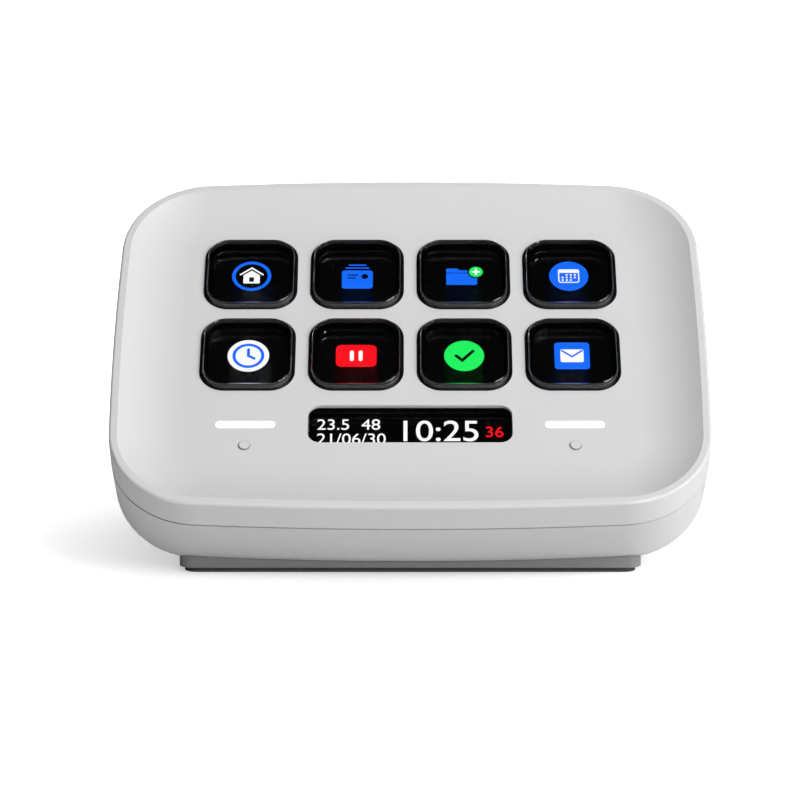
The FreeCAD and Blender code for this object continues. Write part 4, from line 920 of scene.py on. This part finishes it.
def numerals(text, height, weight):
    """Skin of plain numerals, one layer thick: text made a mesh and scaled to a height.

    Its lower left corner lies at the start. Weight is how much each stroke
    grows all round, as a share of the type's size.
    """
    curve = bpy.data.curves.new("numerals", "FONT")
    curve.body = text
    curve.extrude = MM
    curve.offset = weight
    holder = bpy.data.objects.new("numerals", curve)
    bpy.context.scene.collection.objects.link(holder)
    mesh = bpy.data.meshes.new_from_object(holder)
    points = np.empty(3 * len(mesh.vertices))
    mesh.vertices.foreach_get("co", points)
    points = points.reshape(-1, 3)
    faces = [list(face.vertices) for face in mesh.polygons]
    bpy.data.objects.remove(holder)
    bpy.data.curves.remove(curve)
    bpy.data.meshes.remove(mesh)
    low, high = points.min(axis=0), points.max(axis=0)
    scale = height / (high[1] - low[1])
    flat = (points[:, :2] - low[:2]) * scale
    return np.column_stack([flat, np.where(points[:, 2] > 0, LAYER, 0.0)]), faces


# The strip's numerals: text, name of its height, weight, its lower left corner from the
# strip's middle, in millimetres, and its colour
STRIP_TEXTS = [
    ("23.5  48", "small_height", 0.0, (-16.6, 0.7), "white"),
    ("21/06/30", "small_height", 0.0, (-16.6, -2.6), "white"),
    ("10:25", "numeral_height", 0.002, (-1.2, -1.95), "white"),
    ("36", "small_height", 0.002, (13.5, -1.0), "red"),
]


class KEYPAD_OT_strip(bpy.types.Operator):
    """Clock and small numerals on the display strip"""

    bl_idname = "keypad.strip"
    bl_label = "Display Strip"

    def execute(self, context):
        parts = []
        for text, height, weight, corner, colour in STRIP_TEXTS:
            skin = numerals(text, getattr(sizes(), height) / MM, weight)
            parts.append((moved(skin, *corner), getattr(colours(), colour)))
        material = lit_display("lit_strip", STRIP_LIGHT)
        middle = slab_middle("info_lcd")[:2]
        piece = lit_piece("strip_display", parts, 1.0, middle, STRIP_TOP, material)
        return {"FINISHED"}


# Finishes inside and underneath: name, colour, roughness, other values and the CAD nodes
MOULDINGS = [
    ("dark_silicone", (0.01, 0.01, 0.011), 0.6, {}, ["dome_sheet"]),
    ("foam", (0.015, 0.015, 0.015), 0.9, {"grain": 1800.0, "depth": 0.02 * MM}, ["info_gasket"]),
    ("solder_mask", (0.01, 0.09, 0.035), 0.35, {"grain": 900.0, "tone": 0.2}, ["main_pcb"]),
    ("lamp_resin", (0.85, 0.8, 0.6), 0.3, {}, ["light_leds"]),
    ("chip_resin", (0.02, 0.02, 0.022), 0.55, {}, ["processor", "memory_chip"]),
    ("ferrite", (0.05, 0.05, 0.05), 0.7, {"grain": 3000.0, "depth": 0.01 * MM},
     ["power_inductor"]),
    ("ceramic", (0.30, 0.20, 0.12), 0.45, {}, ["capacitors"]),
    ("connector_resin", (0.012, 0.012, 0.012), 0.45, {},
     ["lcd_connector", "info_connector", "usb_tongue"]),
    ("ribbon_film", (0.45, 0.17, 0.03), 0.25, {}, ["lcd_ribbon", "info_ribbon"]),
]
METALS = [
    ("contact_brass", (0.75, 0.56, 0.28), 0.3, {}, ["touch_contact_left", "touch_contact_right"]),
    ("pressed_aluminium", (0.72, 0.73, 0.74), 0.35, {}, ["support_plate"]),
    ("turned_brass", (0.70, 0.52, 0.24), 0.3, {}, ["spacers"]),
    ("port_steel", (0.62, 0.62, 0.63), 0.28, {}, ["usb_shell"]),
    ("screw_steel", (0.42, 0.42, 0.44), 0.35, {"lines": 4000.0},
     ["frame_screws", "case_screws", "stand_screws", "base_screws"]),
    ("base_steel", (0.45, 0.45, 0.46), 0.45, {}, ["stand_base"]),
]


class KEYPAD_OT_finishes(bpy.types.Operator):
    """Finishes of the housings, the stand and every piece inside"""

    bl_idname = "keypad.finishes"
    bl_label = "Finishes"

    def execute(self, context):
        tint = colours()
        shell = shell_finish("shell_white", tint.shell, 0.42, specular_ior_level=0.45)
        rubber = moulded("foot_rubber", tint.pad, 0.8, grain=2500.0, depth=0.01 * MM, tone=0.1)
        black = moulded("black_moulding", tint.black, 0.22, depth=0.0005 * MM)
        dress(shell, "top_housing", "rear_housing")
        dress(moulded("stand_grey", tint.stand, 0.5), "stand")
        dress(rubber, "foot_pad")
        dress(black, "key_frame", *[f"key_skirt_{number}" for number in KEYS])
        dress(display_glass("display_glass", (0.004, 0.004, 0.005)), "lcd_panel", "info_lcd")
        dress(clear("switch_film", (0.95, 0.96, 0.96), 300.0), "switch_film")
        bars = milky_light("milky_light", tint.white, BAR_LIGHT)
        dress(bars, "light_pipe_left", "light_pipe_right")
        for make, rows in ((moulded, MOULDINGS), (metal, METALS)):
            for name, colour, roughness, values, nodes in rows:
                dress(make(name, colour, roughness, **values), *nodes)
        return {"FINISHED"}


# The camera's place from the middle of the keys, in metres, its look down, in degrees, its
# lens and sensor, in millimetres, and its shift, as a share of the picture's width
CAMERA_AWAY = (0.0, -0.59435, 0.09952)
CAMERA_DOWN = 11.0
CAMERA_LENS = 148.2
CAMERA_SENSOR = 36.0
CAMERA_SHIFT = -0.01275


def add_camera():
    """Camera of the photograph: square to the keypad, above it, looking a little down."""
    first_high = slab_box("key_cap_1")[1]
    last_low = slab_box("key_cap_8")[0]
    flat = slab_box("light_pipe_left")[1][2]
    keys_middle = np.array([[0.0, (last_low[1] + first_high[1]) / 2, flat]])
    data = bpy.data.cameras.new("camera")
    data.sensor_width = CAMERA_SENSOR
    data.lens = CAMERA_LENS
    data.shift_x = CAMERA_SHIFT
    camera = bpy.data.objects.new("camera", data)
    camera.location = Vector(to_row(keys_middle)[0]) + Vector(CAMERA_AWAY)
    camera.rotation_mode = "QUATERNION"
    down = math.radians(CAMERA_DOWN)
    look = Vector((0.0, math.cos(down), -math.sin(down)))
    camera.rotation_quaternion = look.to_track_quat("-Z", "Y")
    bpy.context.scene.collection.objects.link(camera)
    bpy.context.scene.camera = camera


# Each light's turn to the right of the front and its rise, in degrees, and its watts
LIGHTS = [
    ("top_light", (0.0, 90.0), 2.0),
    ("high_light", (135.0, 65.0), 3.4),
    ("front_right_light", (47.0, 30.0), 21.5),
    ("back_light", (180.0, 18.0), 8.5),
]
# Their distance from the origin, their side and the point they are turned to, in metres
LIGHT_AWAY = 1.5
LIGHT_SIDE = 0.9
LIGHT_AIM = (0.0, 0.0, 0.03)
# A light that stands higher, in degrees, would be mirrored by the flat caps and the strip
MIRRORED_RISE = 60.0


def add_light(name, turn, rise, watts):
    """Square area light, turned to the keypad. A high one shows in nothing glossy or clear."""
    data = bpy.data.lights.new(name, "AREA")
    data.shape = "SQUARE"
    data.size = LIGHT_SIDE
    data.energy = watts
    light = bpy.data.objects.new(name, data)
    if rise > MIRRORED_RISE:
        light.visible_glossy = light.visible_transmission = False
    turn, rise = math.radians(turn), math.radians(rise)
    way = (math.sin(turn) * math.cos(rise), -math.cos(turn) * math.cos(rise), math.sin(rise))
    place = Vector([LIGHT_AWAY * part for part in way])
    light.location = place
    light.rotation_mode = "QUATERNION"
    light.rotation_quaternion = (Vector(LIGHT_AIM) - place).to_track_quat("-Z", "Y")
    bpy.context.scene.collection.objects.link(light)


# The floor's half side, and how its glow for the camera grows from one distance to another
FLOOR_REACH = 6.0
GLOW_FROM, GLOW_TO = 0.02, 0.11
GLOW_NEAR, GLOW_FAR = 0.34, 0.95


def floor_material():
    """White paper. The camera sees it paler than it lights the keypad, more so further out."""
    finish = Finish("paper_white", (0.88, 0.88, 0.88), 0.95, specular_ior_level=0.1)
    finish.shader.inputs["Emission Color"].default_value = (1.0, 1.0, 1.0, 1.0)
    marks = finish.place("Moulded Grain", Grain=400.0, Drift=3.0)
    finish.shade(marks.outputs["Shade"], 0.01)
    far = finish.tree.nodes.new("ShaderNodeVectorMath")
    far.operation = "LENGTH"
    finish.tree.links.new(object_coordinates(finish.tree), far.inputs[0])
    glow = finish.tree.nodes.new("ShaderNodeMapRange")
    glow.interpolation_type = "SMOOTHSTEP"
    glow.inputs["From Min"].default_value = GLOW_FROM
    glow.inputs["From Max"].default_value = GLOW_TO
    glow.inputs["To Min"].default_value = GLOW_NEAR
    glow.inputs["To Max"].default_value = GLOW_FAR
    finish.tree.links.new(far.outputs["Value"], glow.inputs["Value"])
    seen = finish.tree.nodes.new("ShaderNodeLightPath").outputs["Is Camera Ray"]
    strength = math_node(finish.tree, "MULTIPLY", glow.outputs["Result"], seen)
    finish.tree.links.new(strength, finish.shader.inputs["Emission Strength"])
    return finish.material


def add_floor():
    """Level square of white paper under the keypad."""
    corners = [(x * FLOOR_REACH, y * FLOOR_REACH, 0.0)
               for x, y in ((-1, -1), (1, -1), (1, 1), (-1, 1))]
    mesh = bpy.data.meshes.new("floor")
    mesh.from_pydata(corners, [], [(0, 1, 2, 3)])
    mesh.materials.append(floor_material())
    floor = bpy.data.objects.new("floor", mesh)
    bpy.context.scene.collection.objects.link(floor)


# Greys of the surround, each with the rise, as a sine, at which it holds
SURROUND = ((0.0, 0.10), (0.9, 0.01))


def studio_world():
    """Dark surround, a little paler low down, so that only the lights show in what is glossy.

    The camera itself sees it white.
    """
    world = bpy.data.worlds.new("studio")
    world.use_nodes = True
    tree = world.node_tree
    ways = tree.nodes.new("ShaderNodeTexCoord").outputs["Generated"]
    split = tree.nodes.new("ShaderNodeSeparateXYZ")
    tree.links.new(ways, split.inputs["Vector"])
    ramp = tree.nodes.new("ShaderNodeValToRGB")
    for element, (position, grey) in zip(ramp.color_ramp.elements, SURROUND):
        element.position = position
        element.color = (grey, grey, grey, 1.0)
    tree.links.new(split.outputs["Z"], ramp.inputs["Fac"])
    dark = tree.nodes["Background"]
    tree.links.new(ramp.outputs["Color"], dark.inputs["Color"])
    white = tree.nodes.new("ShaderNodeBackground")
    white.inputs["Color"].default_value = (1.0, 1.0, 1.0, 1.0)
    seen = tree.nodes.new("ShaderNodeLightPath").outputs["Is Camera Ray"]
    mix = tree.nodes.new("ShaderNodeMixShader")
    tree.links.new(seen, mix.inputs["Fac"])
    tree.links.new(dark.outputs["Background"], mix.inputs[1])
    tree.links.new(white.outputs["Background"], mix.inputs[2])
    tree.links.new(mix.outputs["Shader"], tree.nodes["World Output"].inputs["Surface"])
    bpy.context.scene.world = world


class KEYPAD_OT_stage(bpy.types.Operator):
    """Camera, pale floor and soft lights"""

    bl_idname = "keypad.stage"
    bl_label = "Stage"

    def execute(self, context):
        add_camera()
        add_floor()
        for name, (turn, rise), watts in LIGHTS:
            add_light(name, turn, rise, watts)
        studio_world()
        context.scene.view_settings.view_transform = "Standard"
        return {"FINISHED"}


class KEYPAD_PT_panel(bpy.types.Panel):
    """Sidebar panel with the keypad's steps, sizes and colours"""

    bl_idname = "KEYPAD_PT_panel"
    bl_label = "Display Keypad"
    bl_space_type = "VIEW_3D"
    bl_region_type = "UI"
    bl_category = "Keypad"

    def draw(self, context):
        for operator in OPERATORS:
            self.layout.operator(operator.bl_idname)
        for group in (context.scene.keypad_sizes, context.scene.keypad_colours):
            for name in group.__annotations__:
                self.layout.prop(group, name)


OPERATORS = [
    KEYPAD_OT_finishes,
    KEYPAD_OT_caps,
    KEYPAD_OT_window,
    KEYPAD_OT_symbols,
    KEYPAD_OT_strip,
    KEYPAD_OT_stage,
]
CLASSES = [KeypadSizes, KeypadColours, *OPERATORS, KEYPAD_PT_panel]


def register():
    """Makes the classes known and gives the scene its sizes and colours."""
    for item in CLASSES:
        bpy.utils.register_class(item)
    bpy.types.Scene.keypad_sizes = PointerProperty(type=KeypadSizes)
    bpy.types.Scene.keypad_colours = PointerProperty(type=KeypadColours)


def unregister():
    """Takes back what register made."""
    del bpy.types.Scene.keypad_sizes
    del bpy.types.Scene.keypad_colours
    for item in reversed(CLASSES):
        bpy.utils.unregister_class(item)


def main():
    register()
    bpy.ops.keypad.finishes()
    bpy.ops.keypad.caps()
    bpy.ops.keypad.window()
    bpy.ops.keypad.symbols()
    bpy.ops.keypad.strip()
    bpy.ops.keypad.stage()


if __name__ == "__main__":
    main()
